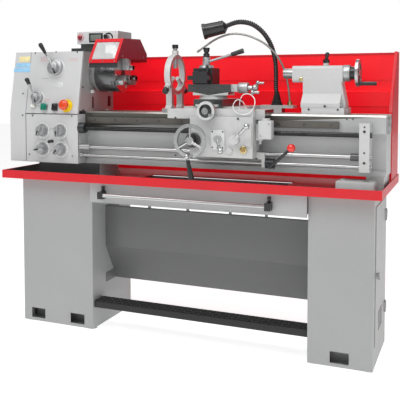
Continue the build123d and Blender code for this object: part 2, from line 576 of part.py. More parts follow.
with BuildPart() as selector_knob_1:
    selector(-692, 916)
with BuildPart() as selector_knob_2:
    selector(-592, 916)
with BuildPart() as selector_knob_3:
    selector(-692, 829)
with BuildPart() as selector_knob_4:
    selector(-592, 829)
pieces += [(selector_knob_1, "selector_knob_1"), (selector_knob_2, "selector_knob_2"),
           (selector_knob_3, "selector_knob_3"), (selector_knob_4, "selector_knob_4")]

with BuildPart() as start_button:
    stud(-682, 33, -6, 8, 9.0)
with BuildPart() as stop_button:
    stud(-623, 33, -6, 8, 9.0)
with BuildPart() as estop_button:
    stud(-560, 38, -5, 20, 9.0)
    stud(-560, 38, 20, 27, 15, r2=20)
    stud(-560, 38, 27, 34, 20, r2=14)
pieces += [(start_button, "start_button"), (stop_button, "stop_button"), (estop_button, "estop_button")]

with BuildPart() as display_box:
    block(-694, -456, 139, 284, 1338, 1399)
    fillet(display_box.edges().filter_by(Axis.Z), 5)
    block(-676, -540, 60, 162, HEAD_TOP + 0.2, 1312)
    block(-676, -540, 148, 162, HEAD_TOP + 0.2, 1338)
    block(-690, -460, 142, 280, 1341, 1396, Mode.SUBTRACT)
    cyl_y(-516, 122, 142, 1371, 13)
    cyl_y(-672, 131, 142, 1371, 8.0)
pieces.append((display_box, "display_box"))

# ================================================================ screws and rods along the front
with BuildPart() as leadscrew:
    cyl_x(HEAD_X1 - 30, 828, ROD_Y, LEAD_Z, LEAD_R)
    cyl_x(HEAD_X1 + 0.5, HEAD_X1 + 40, ROD_Y, LEAD_Z, 17)
pieces.append((leadscrew, "leadscrew"))
with BuildPart() as feed_rod:
    cyl_x(HEAD_X1 - 30, 828, ROD_Y, FEED_Z, FEED_R)
    cyl_x(HEAD_X1 + 0.5, HEAD_X1 + 56, ROD_Y, FEED_Z, 15)
    cyl_x(746, 780.5, ROD_Y, FEED_Z, 15)
pieces.append((feed_rod, "feed_rod"))
with BuildPart() as control_rod:
    cyl_x(HEAD_X1 - 30, 828, ROD_Y, CTRL_Z, CTRL_R)
    cyl_x(HEAD_X1 + 0.5, HEAD_X1 + 20, ROD_Y, CTRL_Z, 12)
pieces.append((control_rod, "control_rod"))

# ================================================================ carriage
SAD_X0, SAD_X1 = -40.0, 400.0
SAD_Z0 = BED_TOP + 0.3
AP_X0, AP_X1, AP_Z0, AP_Z1 = 85.0, 362.0, 828.0, 998.0
CS_X0, CS_X1 = 74.0, 206.0            # cross slide width
CW = (169.0, 1021.0)                  # cross feed wheel axis (x, z)
with BuildPart() as saddle:
    block(SAD_X0, SAD_X1, -170, -99, 985, 1026)                 # front wing
    block(AP_X0 - 25, AP_X1, -205, -169, 998.3, 1030)
    block(SAD_X0, SAD_X1, -170, -44, SAD_Z0 + 0.2, 1026)
    block(20, 300, -130, 130, SAD_Z0 + 0.2, 1036)              # bridge
    block(SAD_X0, SAD_X1, 82, 140, SAD_Z0 + 0.2, 1026)            # rear wing
    block(SAD_X0, SAD_X1, 99, 140, 985, 1026)
    prism_x(CS_X0 + 16, CS_X1 - 16, [(-168, 1036), (-168, 1046), (150, 1046), (150, 1036)])   # cross slide way
    block(300, 452, 84, 150, 1026, 1039)                         # rear plate that carries the lamp
    cyl_y(CW[0], -206, -100, CW[1], 9.06, Mode.SUBTRACT)         # cross feed screw bearing
    block(150, 188, -128, 130, 1012, 1030, Mode.SUBTRACT)        # screw channel
pieces.append((saddle, "saddle"))

HW = (105.0, 897.0)                   # carriage wheel axis (x, z)
RP_Z = 939.0                          # rack pinion axis height
with BuildPart() as apron:
    block(AP_X0, AP_X1, -215, -118, AP_Z0, AP_Z1)
    block(AP_X0 + 10, AP_X1 - 10, -203, -117, AP_Z0 + 12, AP_Z1 - 8, Mode.SUBTRACT)
    block(AP_X0, AP_X1, -118.5, -117.5, AP_Z0 - 1, AP_Z1 + 1, Mode.SUBTRACT)
    block(AP_X0, AP_X1, -170.5, -117, 984.8, AP_Z1 + 1, Mode.SUBTRACT)
    for z, r in ((LEAD_Z, LEAD_R), (FEED_Z, FEED_R)):
        cyl_x(AP_X0 - 1, AP_X1 + 1, ROD_Y, z, r + 1.0, Mode.SUBTRACT)
    cyl_y(HW[0], -216, -202, HW[1], 9.06, Mode.SUBTRACT)
    cyl_y(215, -216, -202, 905, 8.06, Mode.SUBTRACT)
    cyl_y(288, -216, -202, 905, 8.06, Mode.SUBTRACT)
    # feed plate with its screws, sight glass boss, cross feed bearing cap
    block(180, 243, -219, -215.1, 858, 942)
    cyl_y(215, -220, -214, 905, 10, Mode.SUBTRACT)
    cyl_y(262, -222, -215.1, 858, 13)
    block(330, 358, -222, -215.1, 880, 968)
    # thread dial housing
    block(363, 392, -176, -150, 900, 968)
    cyl_z(378, -163, 968, 980, 11)
    cyl_x(363, 392, ROD_Y, LEAD_Z, LEAD_R + 6, Mode.SUBTRACT)
    cyl_z(378, -163, 884, 900, 6)
    # bracket round the control rod
    block(362.2, 397.4, -162, -128, 822, 850)
    block(384, 397.4, -162, -128, 788, 850)
    cyl_x(361, 398, ROD_Y, CTRL_Z, CTRL_R + 1.0, Mode.SUBTRACT)
    cyl_x(361, 398, ROD_Y, FEED_Z, FEED_R + 1.0, Mode.SUBTRACT)
pieces.append((apron, "apron"))




def wheel_y(x, z, y_rim, r, rim, hub_r, y_hub0, y_hub1, spokes=3, a0=90):
    """Spoked hand wheel with its axis along Y."""
    cyl_y(x, y_rim - 6, y_rim + 6, z, r)
    cyl_y(x, y_rim - 7, y_rim + 7, z, r - 2 * rim, Mode.SUBTRACT)
    cyl_y(x, y_hub0, y_hub1, z, hub_r)
    for i in range(spokes):
        a = math.radians(a0 + i * 360 / spokes)
        bar((x + hub_r * 0.7 * math.cos(a), (y_hub0 + y_rim) / 2, z + hub_r * 0.7 * math.sin(a)),
            (x + (r - rim) * math.cos(a), y_rim, z + (r - rim) * math.sin(a)), 6)


with BuildPart() as carriage_wheel:
    wheel_y(HW[0], HW[1], -262, 71, 7.5, 18, -268, -240)
    cyl_y(HW[0], -240, -219, HW[1], 31)
    cyl_y(HW[0], -219, -180, HW[1], 9)
    cyl_y(HW[0] - 3, -284, -262, HW[1] - 61, 8)
    # hanging grip
    ball(HW[0] - 3, -289, HW[1] - 63, 10)
    bar((HW[0] - 2, -289, HW[1] - 62), (HW[0] + 2, -289, HW[1] - 80), 6)
    bar((HW[0] + 2, -289, HW[1] - 78), (HW[0] + 18, -288, HW[1] - 158), 8, r2=12)
pieces.append((carriage_wheel, "carriage_wheel"))


with BuildPart() as feed_lever:
    cyl_y(215, -230, -203, 905, 8)
    cyl_y(215, -242, -220, 905, 15)
    bar((215, -236, 905), (236, -252, 858), 6)
    ball(236, -252, 858, 12)
pieces.append((feed_lever, "feed_lever"))
with BuildPart() as half_nut_lever:
    cyl_y(288, -230, -203, 905, 8)
    cyl_y(288, -240, -217, 905, 20)
    bar((288, -232, 905), (318, -252, 930), 7)
    bar((318, -252, 930), (352, -262, 962), 6, r2=7)
    ball(352, -262, 962, 12)
pieces.append((half_nut_lever, "half_nut_lever"))

# lever that turns the control rod, keyed to it and carried by the apron
with BuildPart() as control_lever:
    cyl_x(398, 434, ROD_Y, CTRL_Z, 21)
    cyl_x(397, 435, ROD_Y, CTRL_Z, CTRL_R + 0.06, Mode.SUBTRACT)
    bar((416, ROD_Y - 18, CTRL_Z - 4), (432, ROD_Y - 52, CTRL_Z - 8), 11, r2=9)
    bar((432, ROD_Y - 52, CTRL_Z - 8), (520, ROD_Y - 78, CTRL_Z + 68), 7, r2=5.5)
    ball(526, ROD_Y - 80, CTRL_Z + 74, 17)
pieces.append((control_lever, "control_lever"))

# cross slide, its screw and wheel
with BuildPart() as cross_slide:
    block(CS_X0, CS_X1, -150, 118, 1046.3, 1068)
    block(CS_X0, CS_X0 + 15.6, -150, 118, 1036.3, 1047)
    block(CS_X1 - 15.6, CS_X1, -150, 118, 1036.3, 1047)
    cyl_z(125, -42, 1068, 1078, 62)
    # swivel base of the compound slide
    cyl_z(125, -42, 1078.3, 1090, 58)
    block(50, 214, CMP_Y - 42, CMP_Y + 42, 1084, 1098)
    block(60, 204, CMP_Y - 26, CMP_Y + 26, 1098, 1106)
pieces.append((cross_slide, "cross_slide"))
with BuildPart() as cross_feed_wheel:
    cyl_y(CW[0], -236, -99, CW[1], 9)
    cyl_y(CW[0], -236, -205.5, CW[1], 22)
    cyl_y(CW[0], -250, -232, CW[1], 39)
    cyl_y(CW[0], -258, -250, CW[1], 14)
    cyl_y(CW[0] + 26, -270, -250, CW[1] - 16, 6)
pieces.append((cross_feed_wheel, "cross_feed_wheel"))

# compound slide on its swivel
with BuildPart() as compound_slide:
    block(26, 228, CMP_Y - 44, CMP_Y + 44, 1106.3, 1132)
    block(26, 228, CMP_Y - 44, CMP_Y - 26.3, 1098.3, 1107)
    block(26, 228, CMP_Y + 26.3, CMP_Y + 44, 1098.3, 1107)
    block(228, 250, CMP_Y - 28, CMP_Y + 28, 1099, 1131)
    cyl_x(226, 251, CMP_Y, 1116, 7.06, Mode.SUBTRACT)
    cyl_z(100, -45, 1120, 1133, 12, Mode.SUBTRACT)
pieces.append((compound_slide, "compound_slide"))
with BuildPart() as compound_crank:
    cyl_x(228, 250.5, CMP_Y, 1116, 7)
    cyl_x(250.5, 292, CMP_Y, 1116, 23)
    cyl_x(292, 318, CMP_Y, 1116, 10)
    ball(322, CMP_Y, 1116, 15)
    bar((322, CMP_Y - 34, 1098), (322, CMP_Y + 36, 1136), 5)
    ball(322, CMP_Y - 36, 1097, 10)
    ball(322, CMP_Y + 38, 1137, 10)
    cyl_x(322, 352, CMP_Y - 36, 1097, 6)
    cyl_x(326, 350, CMP_Y + 38, 1137, 5)
pieces.append((compound_crank, "compound_crank"))

# quick-change tool post
with BuildPart() as tool_post:
    block(TP[0] - 45, TP[0] + 45, TP[1] - 45, TP[1] + 45, 1132.3, 1202)
    cyl_z(TP[0], TP[1], 1202, 1216, 30)
    cyl_z(TP[0], TP[1], 1202, 1268, 8.0)
    # holder
    block(TP[0] - 34, TP[0] + 34, TP[1] - 79, TP[1] - 45.2, 1136, 1186)
    block(TP[0] - 36, TP[0] + 36, TP[1] - 80, TP[1] - 58, 1150, 1170, Mode.SUBTRACT)
    cyl_z(TP[0] + 24, TP[1] - 52, 1186, 1214, 7)
    # turning tool
    prism_z(1150.2, 1169.8, [(TP[0] - 58, TP[1] - 79), (TP[0] - 58, TP[1] - 72), (TP[0] - 46, TP[1] - 58.5), (TP[0] + 44, TP[1] - 58.5), (TP[0] + 44, TP[1] - 79)])
pieces.append((tool_post, "tool_post"))
with BuildPart() as tool_post_lever:
    cyl_z(TP[0], TP[1], 1216.5, 1250, 17)
    cyl_z(TP[0], TP[1], 1216, 1251, 8.06, Mode.SUBTRACT)
    bar((TP[0] + 12, TP[1], 1232), (TP[0] + 118, TP[1] + 4, 1262), 5.5)
    bar((TP[0] + 116, TP[1] + 4, 1261.4), (TP[0] + 170, TP[1] + 6, 1277), 9, r2=11)
pieces.append((tool_post_lever, "tool_post_lever"))

# work lamp on its flexible arm, and the coolant pipe, both carried by the saddle
ARM = [(368, 117, 1070), (364, 116, 1130), (365, 112, 1190), (362, 102, 1250), (347, 84, 1312), (316, 62, 1365), (271, 42, 1400), (215, 26, 1408), (150, 9, 1386)]
with BuildPart() as work_lamp:
    cyl_z(368, 117, 1039.1, 1046, 24)
    with Locations((368, 117, 1062)):
        Cone(20, 12, 32)
    cyl_z(368, 117, 1040, 1078, 10)
    with BuildLine() as arm_line:
        FilletPolyline(*ARM, radius=arc_radii(ARM))
    with BuildSketch(Plane(origin=ARM[0], z_dir=Vector(*ARM[1]) - Vector(*ARM[0]))) as arm_sec:
        Circle(8.5)
    sweep(arm_sec.sketch, path=arm_line.wires()[0])
    bar((168, 14, 1391), (144, 7, 1384), 12)
    bar((150, 9, 1386), (66, -18, 1366), 29, r2=33)
    bar((84, -12.2, 1370.3), (64, -18.6, 1365.5), 29, Mode.SUBTRACT, r2=30)
pieces.append((work_lamp, "work_lamp"))


PIPE = [(427, 125, 1044), (421, 122, 1116), (409, 106, 1196), (378, 68, 1266), (329, 48, 1315), (259, 34, 1349), (187, 26, 1360), (112, 20, 1337), (51, 16, 1297), (30, 14.5, 1283)]
OIL_LINE = [(312, -150, 1032), (303, -158, 1058), (284, -184, 1072), (271, -206, 1044), (286, -213, 1016), (320, -214, 1006), (352, -212, 1016),
            (369, -204, 1046), (360, -184, 1076), (332, -168, 1093), (302, -162, 1090), (286, -156, 1066), (284, -150, 1032)]
with BuildPart() as coolant_pipe:
    with BuildLine() as pipe_line:
        FilletPolyline(*PIPE, radius=arc_radii(PIPE))
    with BuildSketch(Plane(origin=PIPE[0], z_dir=Vector(*PIPE[1]) - Vector(*PIPE[0]))) as pipe_sec:
        Circle(4.5)
    sweep(pipe_sec.sketch, path=pipe_line.wires()[0])
    cyl_z(427, 125, 1039.1, 1056, 12)
    bar((34, 14.8, 1285.7), (22, 14, 1277.5), 6.5, r2=3.5)
    # small oil line, one open turn in front of the saddle
    with BuildLine() as loop_line:
        FilletPolyline(*OIL_LINE, radius=arc_radii(OIL_LINE))
    with BuildSketch(Plane(origin=OIL_LINE[0], z_dir=Vector(*OIL_LINE[1]) - Vector(*OIL_LINE[0]))) as loop_sec:
        Circle(2)
    sweep(loop_sec.sketch, path=loop_line.wires()[0])
    cyl_z(OIL_LINE[0][0], OIL_LINE[0][1], 1026.2, 1034, 5)
    cyl_z(OIL_LINE[-1][0], OIL_LINE[-1][1], 1026.2, 1034, 5)
pieces.append((coolant_pipe, "coolant_pipe"))

# ================================================================ fixed steady rest
SX0, SX1 = -94.0, -66.0
SXM = (SX0 + SX1) / 2
def steady_finger(a):
    c, s = math.cos(math.radians(a)), math.sin(math.radians(a))
    xm = SXM
    bar((xm, 28 * c, AX + 28 * s), (xm, 120 * c, AX + 120 * s), 10)
    bar((xm, 119 * c, AX + 119 * s), (xm, 136 * c, AX + 136 * s), 14)


with BuildPart() as steady_rest:
    cyl_x(SX0, SX1, 0, AX, 90)
    cyl_x(SX0 - 1, SX1 + 1, 0, AX, 74, Mode.SUBTRACT)
    for s in (-1, 1):
        prism_x(SX0, SX1, [(s * 42, AX - 66), (s * 72, AX - 46), (s * 68, 1040), (s * 84, 1024), (s * 84, 1018), (s * 36, 1018), (s * 36, 1028), (s * 45, 1040)])
    block(SX0 - 10, SX1 + 10, -92, 92, BED_TOP + 0.3, 1024)
    for a in (90, 215, 325):
        c, s = math.cos(math.radians(a)), math.sin(math.radians(a))
        bar((SXM, 75 * c, AX + 75 * s), (SXM, 108 * c, AX + 108 * s), 15)
        bar((SXM, 60 * c, AX + 60 * s), (SXM, 126 * c, AX + 126 * s), 10.1, Mode.SUBTRACT)
    # the two lower fingers, clamped in their collars
    steady_finger(215)
    steady_finger(325)
pieces.append((steady_rest, "steady_rest"))


with BuildPart() as steady_finger_top:
    steady_finger(90)
pieces.append((steady_finger_top, "steady_finger_top"))

# ================================================================ tailstock
TS0, TS1 = 478.0, 690.0
with BuildPart() as tailstock:
    prism_x(524, 686, [(-70, 1034.2), (-70, 1052), (-34, 1092), (-35.5, 1150), (35.5, 1150), (34, 1092), (70, 1052), (70, 1034.2)])
    prism_y(-34, 34, [(685, 1140), (685, 1034.2), (703, 1034.2), (703, 1052)])
    # barrel with rounded edges
    with BuildSketch(Plane.YZ.offset(TS0)) as barrel_sec:
        with Locations((0, 1174)):
            RectangleRounded(72, 70, 15)
    extrude(barrel_sec.sketch, amount=TS1 - TS0)
    cyl_x(TS0 - 1, TS1 + 1, 0, AX, 22.06, Mode.SUBTRACT)
    cyl_z(612, 12, AX + 28, AX + 44, 12)
    cyl_z(612, 12, AX + 26, AX + 45, 8.06, Mode.SUBTRACT)
    block(530, 706, -78, 78, BED_TOP + 0.3, 1034)
    block(546, 590, -30, 30, 955, BED_TOP + 0.4)
    block(540, 596, -52, 52, 938, 956)
    # offset scale boss
    block(706, 712, -30, 30, 1010, 1032)
pieces.append((tailstock, "tailstock"))
with BuildPart() as quill:
    cyl_x(434, 660, 0, AX, 22)
    with Locations(Location((454, 0, AX), (0, -90, 0))):
        Cone(8, 12.5, 44, mode=Mode.SUBTRACT)
    cyl_x(600, 661, 0, AX, 10, Mode.SUBTRACT)
pieces.append((quill, "quill"))
with BuildPart() as tailstock_wheel:
    cyl_x(604, 736, 0, AX, 9.6)
    cyl_x(TS1 + 0.5, 716, 0, AX, 34)
    cyl_x(716, 738, 0, AX, 27)
    cyl_x(742, 754, 0, AX, 57)
    cyl_x(741, 755, 0, AX, 42, Mode.SUBTRACT)
    cyl_x(736, 756, 0, AX, 18)
    cyl_x(604, 736, 0, AX, 9.6)
    for i in range(3):
        a = math.radians(90 + 120 * i)
        bar((746, 14 * math.cos(a), AX + 14 * math.sin(a)), (748, 50 * math.cos(a), AX + 50 * math.sin(a)), 6)
    cyl_x(754, 826, -26, AX - 43, 8)
pieces.append((tailstock_wheel, "tailstock_wheel"))
with BuildPart() as quill_clamp_lever:
    cyl_z(612, 12, AX + 38.3, AX + 62, 8)
    cyl_z(612, 12, AX + 44.5, AX + 58, 14)
    bar((612, 12, AX + 54), (618, 4, AX + 78), 6, r2=8)
    ball(618, 4, AX + 80, 9)
pieces.append((quill_clamp_lever, "quill_clamp_lever"))

# ================================================================ backsplash
with BuildPart() as backsplash:
    BX0, BX1 = -600.0, 876.8
    prism_x(BX0, BX1, [(305, 1272), (305, 1104), (291, 1100), (291, TRAY_FLOOR + 0.3), (293, TRAY_FLOOR + 0.3), (293, 1098.4), (307, 1102.4), (307, 1272)])
    prism_x(BX0, BX1, [(305, 1272), (320, 1272), (320, 1274), (303, 1274), (303, 1264), (305, 1264)])
    prism_x(BX1 - 2, BX1, [(305, 1274), (250, 1274), (80, 1012), (80, TRAY_FLOOR + 0.3), (307, TRAY_FLOOR + 0.3), (307, 1274)])
    prism_x(BX1 - 14, BX1, [(250, 1274), (80, 1012), (78, 1013), (248, 1276)])
pieces.append((backsplash, "backsplash"))


# ================================================================ hand-over
for builder, label in pieces:
    builder.part.move(Location(ORIGIN_SHIFT))
    builder.part.label = label
    export_step(builder.part, "parts/" + label + ".step")
print(len(pieces), "pieces", [p[1] for p in pieces])
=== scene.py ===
import bpy, bmesh, math
from mathutils import Vector, Matrix


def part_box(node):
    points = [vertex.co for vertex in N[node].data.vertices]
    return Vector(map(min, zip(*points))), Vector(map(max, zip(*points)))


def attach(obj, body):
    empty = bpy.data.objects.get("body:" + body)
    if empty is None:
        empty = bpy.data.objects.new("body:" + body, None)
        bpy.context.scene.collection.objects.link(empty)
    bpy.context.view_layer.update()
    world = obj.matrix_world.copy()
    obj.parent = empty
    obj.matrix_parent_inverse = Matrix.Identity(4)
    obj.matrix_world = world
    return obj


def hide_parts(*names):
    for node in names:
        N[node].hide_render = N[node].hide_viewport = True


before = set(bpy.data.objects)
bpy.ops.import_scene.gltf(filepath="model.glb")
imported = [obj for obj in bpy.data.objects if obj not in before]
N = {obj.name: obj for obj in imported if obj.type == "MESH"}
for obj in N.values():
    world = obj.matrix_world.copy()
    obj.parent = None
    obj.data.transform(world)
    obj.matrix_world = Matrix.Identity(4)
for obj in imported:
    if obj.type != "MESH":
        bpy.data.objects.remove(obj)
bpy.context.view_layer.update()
_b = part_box("spindle")
SY = (_b[0].y + _b[1].y) / 2 if hasattr(_b[0], "y") else (_b[0][1] + _b[1][1]) / 2
TAU = 2 * math.pi


def P(x, y, z):
    """A point given in millimetres, y measured from the spindle axis."""
    return Vector((x / 1000, y / 1000 + SY, z / 1000))


def D(x, y, z):
    return Vector((x, y, z)).normalized()


# ------------------------------------------------------------------ materials
def _nodes(name):
    m = bpy.data.materials.new(name)
    m.use_nodes = True
    nt = m.node_tree
    nt.nodes.clear()
    out = nt.nodes.new("ShaderNodeOutputMaterial")
    p = nt.nodes.new("ShaderNodeBsdfPrincipled")
    nt.links.new(p.outputs["BSDF"], out.inputs["Surface"])
    return m, nt, p


def _noise(nt, scale, detail=3.0, stretch=(1, 1, 1), rough=0.55):
    tc = nt.nodes.new("ShaderNodeTexCoord")
    mp = nt.nodes.new("ShaderNodeMapping")
    mp.inputs["Scale"].default_value = stretch
    n = nt.nodes.new("ShaderNodeTexNoise")
    n.inputs["Scale"].default_value = scale
    n.inputs["Detail"].default_value = detail
    n.inputs["Roughness"].default_value = rough
    nt.links.new(tc.outputs["Object"], mp.inputs["Vector"])
    nt.links.new(mp.outputs["Vector"], n.inputs["Vector"])
    return n.outputs["Fac"]


def _ramp(nt, fac, stops):
    r = nt.nodes.new("ShaderNodeValToRGB")
    r.color_ramp.elements[0].position, r.color_ramp.elements[0].color = stops[0][0], (*stops[0][1], 1)
    r.color_ramp.elements[1].position, r.color_ramp.elements[1].color = stops[1][0], (*stops[1][1], 1)
    for pos, c in stops[2:]:
        e = r.color_ramp.elements.new(pos)
        e.color = (*c, 1)
    nt.links.new(fac, r.inputs["Fac"])
    return r.outputs["Color"]


def _range(nt, fac, lo, hi, a=0.3, b=0.7):
    m = nt.nodes.new("ShaderNodeMapRange")
    m.inputs["From Min"].default_value, m.inputs["From Max"].default_value = a, b
    m.inputs["To Min"].default_value, m.inputs["To Max"].default_value = lo, hi
    nt.links.new(fac, m.inputs["Value"])
    return m.outputs["Result"]


def _bump(nt, p, fac, strength, dist):
    b = nt.nodes.new("ShaderNodeBump")
    b.inputs["Strength"].default_value = strength
    b.inputs["Distance"].default_value = dist
    nt.links.new(fac, b.inputs["Height"])
    nt.links.new(b.outputs["Normal"], p.inputs["Normal"])


def sc(c, k):
    return tuple(min(1.0, max(0.0, v * k)) for v in c)


def paint(name, col, rough=0.35, var=0.05, peel=0.00025, scale=900, coat=0.25, grime=0.12):
    """Enamel: slow colour drift, faint grime in patches, orange-peel bump."""
    m, nt, p = _nodes(name)
    slow = _noise(nt, 3.2, 4)
    fine = _noise(nt, 38, 6, rough=0.7)
    c1 = _ramp(nt, slow, [(0.3, sc(col, 1 - var)), (0.7, sc(col, 1 + var))])
    c2 = _ramp(nt, fine, [(0.28, sc(col, 1 - grime)), (0.46, col), (1.0, sc(col, 1.02))])
    mix = nt.nodes.new("ShaderNodeMix")
    mix.data_type = "RGBA"
    mix.inputs["Factor"].default_value = 0.5
    nt.links.new(c1, mix.inputs["A"])
    nt.links.new(c2, mix.inputs["B"])
    nt.links.new(mix.outputs["Result"], p.inputs["Base Color"])
    nt.links.new(_range(nt, fine, rough - 0.05, rough + 0.09), p.inputs["Roughness"])
    p.inputs["Coat Weight"].default_value = coat
    p.inputs["Coat Roughness"].default_value = 0.12
    _bump(nt, p, _noise(nt, scale, 2), 0.35, peel)
    return m


def cast(name, col, rough=0.42, peel=0.0006):
    return paint(name, col, rough, 0.06, peel, 330, 0.2, 0.14)


def steel(name, col, rough=0.24, stretch=(1, 30, 30), scale=60, var=0.12, spots=0.0, metallic=1.0):
    """Ground or turned steel: fine lines along one direction, a little uneven oil film."""
    m, nt, p = _nodes(name)
    line = _noise(nt, scale, 4, stretch, 0.6)
    slow = _noise(nt, 14, 4)
    c1 = _ramp(nt, line, [(0.3, sc(col, 1 - var)), (0.72, sc(col, 1 + var))])
    c2 = _ramp(nt, slow, [(0.3, sc(col, 0.9 - spots)), (0.6, col)])
    mix = nt.nodes.new("ShaderNodeMix")
    mix.data_type = "RGBA"
    mix.inputs["Factor"].default_value = 0.45
    nt.links.new(c1, mix.inputs["A"])
    nt.links.new(c2, mix.inputs["B"])
    nt.links.new(mix.outputs["Result"], p.inputs["Base Color"])
    p.inputs["Metallic"].default_value = metallic
    nt.links.new(_range(nt, line, rough - 0.06, rough + 0.1), p.inputs["Roughness"])
    _bump(nt, p, line, 0.18, 0.00012)
    return m


def plastic(name, col, rough=0.3, grain=0.0002, gs=1400, coat=0.0, sheen=0.0):
    m, nt, p = _nodes(name)
    n = _noise(nt, 60, 4)
    nt.links.new(_ramp(nt, n, [(0.3, sc(col, 0.88)), (0.7, sc(col, 1.1))]), p.inputs["Base Color"])
    nt.links.new(_range(nt, n, rough - 0.04, rough + 0.08), p.inputs["Roughness"])
    p.inputs["Coat Weight"].default_value = coat
    _bump(nt, p, _noise(nt, gs, 2), 0.3, grain)
    return m


def glow(name, col, strength=0.4):
    m, nt, p = _nodes(name)
    n = _noise(nt, 90, 3)
    c = _ramp(nt, n, [(0.3, sc(col, 0.9)), (0.7, col)])
    nt.links.new(c, p.inputs["Base Color"])
    nt.links.new(c, p.inputs["Emission Color"])
    p.inputs["Emission Strength"].default_value = strength
    p.inputs["Roughness"].default_value = 0.25
    return m


def clear(name, col=(0.93, 0.97, 0.96), rough=0.04):
    m, nt, p = _nodes(name)
    n = _noise(nt, 30, 4)
    nt.links.new(_range(nt, n, rough, rough + 0.08), p.inputs["Roughness"])
    p.inputs["Base Color"].default_value = (*col, 1)
    p.inputs["Transmission Weight"].default_value = 0.25
    p.inputs["IOR"].default_value = 1.2
    p.inputs["Alpha"].default_value = 0.45
    return m


M = dict(
    panel=paint("panel_light_grey", (0.56, 0.562, 0.566), 0.4, 0.03, coat=0.15, grime=0.05),
    machine=cast("machine_grey", (0.47, 0.475, 0.475)),
    castlight=cast("casting_light_grey", (0.56, 0.565, 0.56)),
    headgrey=cast("headstock_grey", (0.36, 0.363, 0.363)),
    cabinet=paint("cabinet_grey", (0.36, 0.365, 0.365), 0.42, 0.04, coat=0.12, grime=0.08),
    # trough colour: partly the panel's own grey, partly painted shade, darkened for the shadow under the chip tray
    trough=paint("trough_grey_painted_shade", (0.135, 0.137, 0.139), 0.45, 0.05, coat=0.15),
    drawer=paint("drawer_grey", (0.40, 0.405, 0.41), 0.4, 0.04, coat=0.15),
    red=paint("red_enamel", (0.98, 0.0, 0.010), 0.38, 0.03, coat=0.08, grime=0.03),
    redlip=paint("red_edge", (0.66, 0.003, 0.012), 0.4, 0.04, coat=0.06, grime=0.05),
    # darker copy of the red enamel, used as painted shade on the chuck guard's right end
    reddark=paint("red_enamel_painted_shade", (0.24, 0.0, 0.016), 0.45, 0.06, coat=0.03),
    traygrey=paint("tray_grey", (0.50, 0.505, 0.505), 0.35, 0.05, coat=0.2),
    steel=steel("ground_steel", (0.62, 0.62, 0.61), 0.24),
    steelturn=steel("turned_steel", (0.58, 0.585, 0.585), 0.22, (40, 1, 1)),
    bright=steel("bright_steel", (0.50, 0.50, 0.50), 0.30, (1, 20, 20), 80, 0.06),
    chrome=steel("chrome", (0.58, 0.585, 0.59), 0.22, (1, 1, 1), 40, 0.03),
    satin=steel("satin_silver", (0.47, 0.475, 0.48), 0.42, (1, 1, 1), 180, 0.05, metallic=0.85),
    way=steel("way_side", (0.14, 0.135, 0.115), 0.38, (1, 30, 30), 60, 0.14, 0.1, metallic=0.75),
    waytop=steel("way_top", (0.66, 0.655, 0.62), 0.28, (1, 30, 30), 60, 0.08),
    rack=steel("rack_steel", (0.17, 0.16, 0.145), 0.4, (1, 6, 6), 90, 0.2, 0.2, metallic=0.8),
    # dark steel, also used as painted shade on the tray, the bed and the display box
    dark=steel("dark_steel_and_painted_shade", (0.13, 0.13, 0.13), 0.36, (1, 8, 8), 90, 0.2, 0.1, metallic=0.8),
    screwdark=steel("oiled_screw", (0.075, 0.075, 0.076), 0.26, (1, 8, 8), 90, 0.2, 0.1, metallic=0.9),
    oxide=steel("black_oxide", (0.045, 0.047, 0.05), 0.38, (1, 4, 4), 120, 0.25, metallic=0.5),
    gun=steel("gunmetal", (0.155, 0.158, 0.16), 0.27, (1, 14, 14), 80, 0.15, metallic=0.9),
    black=plastic("black_plastic", (0.012, 0.012, 0.013), 0.28, coat=0.2),
    rubber=plastic("black_rubber", (0.018, 0.018, 0.019), 0.62, 0.0004, 700),
    belt=plastic("belt_rubber", (0.02, 0.02, 0.02), 0.75, 0.0005, 500),
    greenb=plastic("green_button", (0.0, 0.19, 0.12), 0.3, coat=0.4),
    redb=plastic("red_button", (0.74, 0.06, 0.008), 0.3, coat=0.5),
    ballred=plastic("red_ball", (0.80, 0.022, 0.012), 0.16, coat=0.8),
    yellow=plastic("yellow_disc", (0.85, 0.62, 0.02), 0.35),
    white=plastic("white_plastic", (0.80, 0.79, 0.74), 0.3, coat=0.3),
    hose=plastic("white_hose", (0.78, 0.78, 0.77), 0.4),
    pipe=steel("grey_pipe", (0.36, 0.365, 0.35), 0.36, (1, 1, 1), 90, 0.1, metallic=0.7),
    pink=plastic("pale_pink", (0.78, 0.42, 0.44), 0.4),
    deepred=plastic("deep_red", (0.33, 0.01, 0.03), 0.3, coat=0.5),
    brass=steel("brass", (0.62, 0.50, 0.22), 0.25, (1, 1, 1), 90, 0.08),
    glass=clear("window_clear"),
    eye=plastic("oil_window", (0.35, 0.22, 0.06), 0.08, coat=1.0),
    lcd=glow("lcd_screen", (0.27, 0.30, 0.27), 0.05),
    lcdseg=plastic("lcd_segments", (0.03, 0.035, 0.03), 0.4),
    bulb=glow("lamp_lens", (0.9, 0.9, 0.86), 0.3),
    glasswhite=paint("window_pale", (0.70, 0.72, 0.71), 0.12, 0.05, coat=0.6),
    plate=paint("blank_plate", (0.72, 0.725, 0.73), 0.3, 0.02, coat=0.4, grime=0.03),
    inkgrey=plastic("printed_grey", (0.36, 0.36, 0.37), 0.45),
    inkred=plastic("printed_red", (0.72, 0.30, 0.30), 0.45),
    ylab=plastic("pale_yellow_label", (0.82, 0.72, 0.38), 0.45),
    blab=plastic("pale_blue_label", (0.30, 0.56, 0.78), 0.45),
)


def add_painted_glow(key, strength, col):
    """Painted glow: emission in the material's own colour, so the enamel stays vivid in the shade."""
    b = next(x for x in M[key].node_tree.nodes if x.type == "BSDF_PRINCIPLED")
    b.inputs["Emission Color"].default_value = (*col, 1)
    b.inputs["Emission Strength"].default_value = strength


# painted glow: the red enamel gives off a little red light of its own, so it stays vivid in the shade
add_painted_glow("red", 0.15, (1.0, 0.0, 0.012))
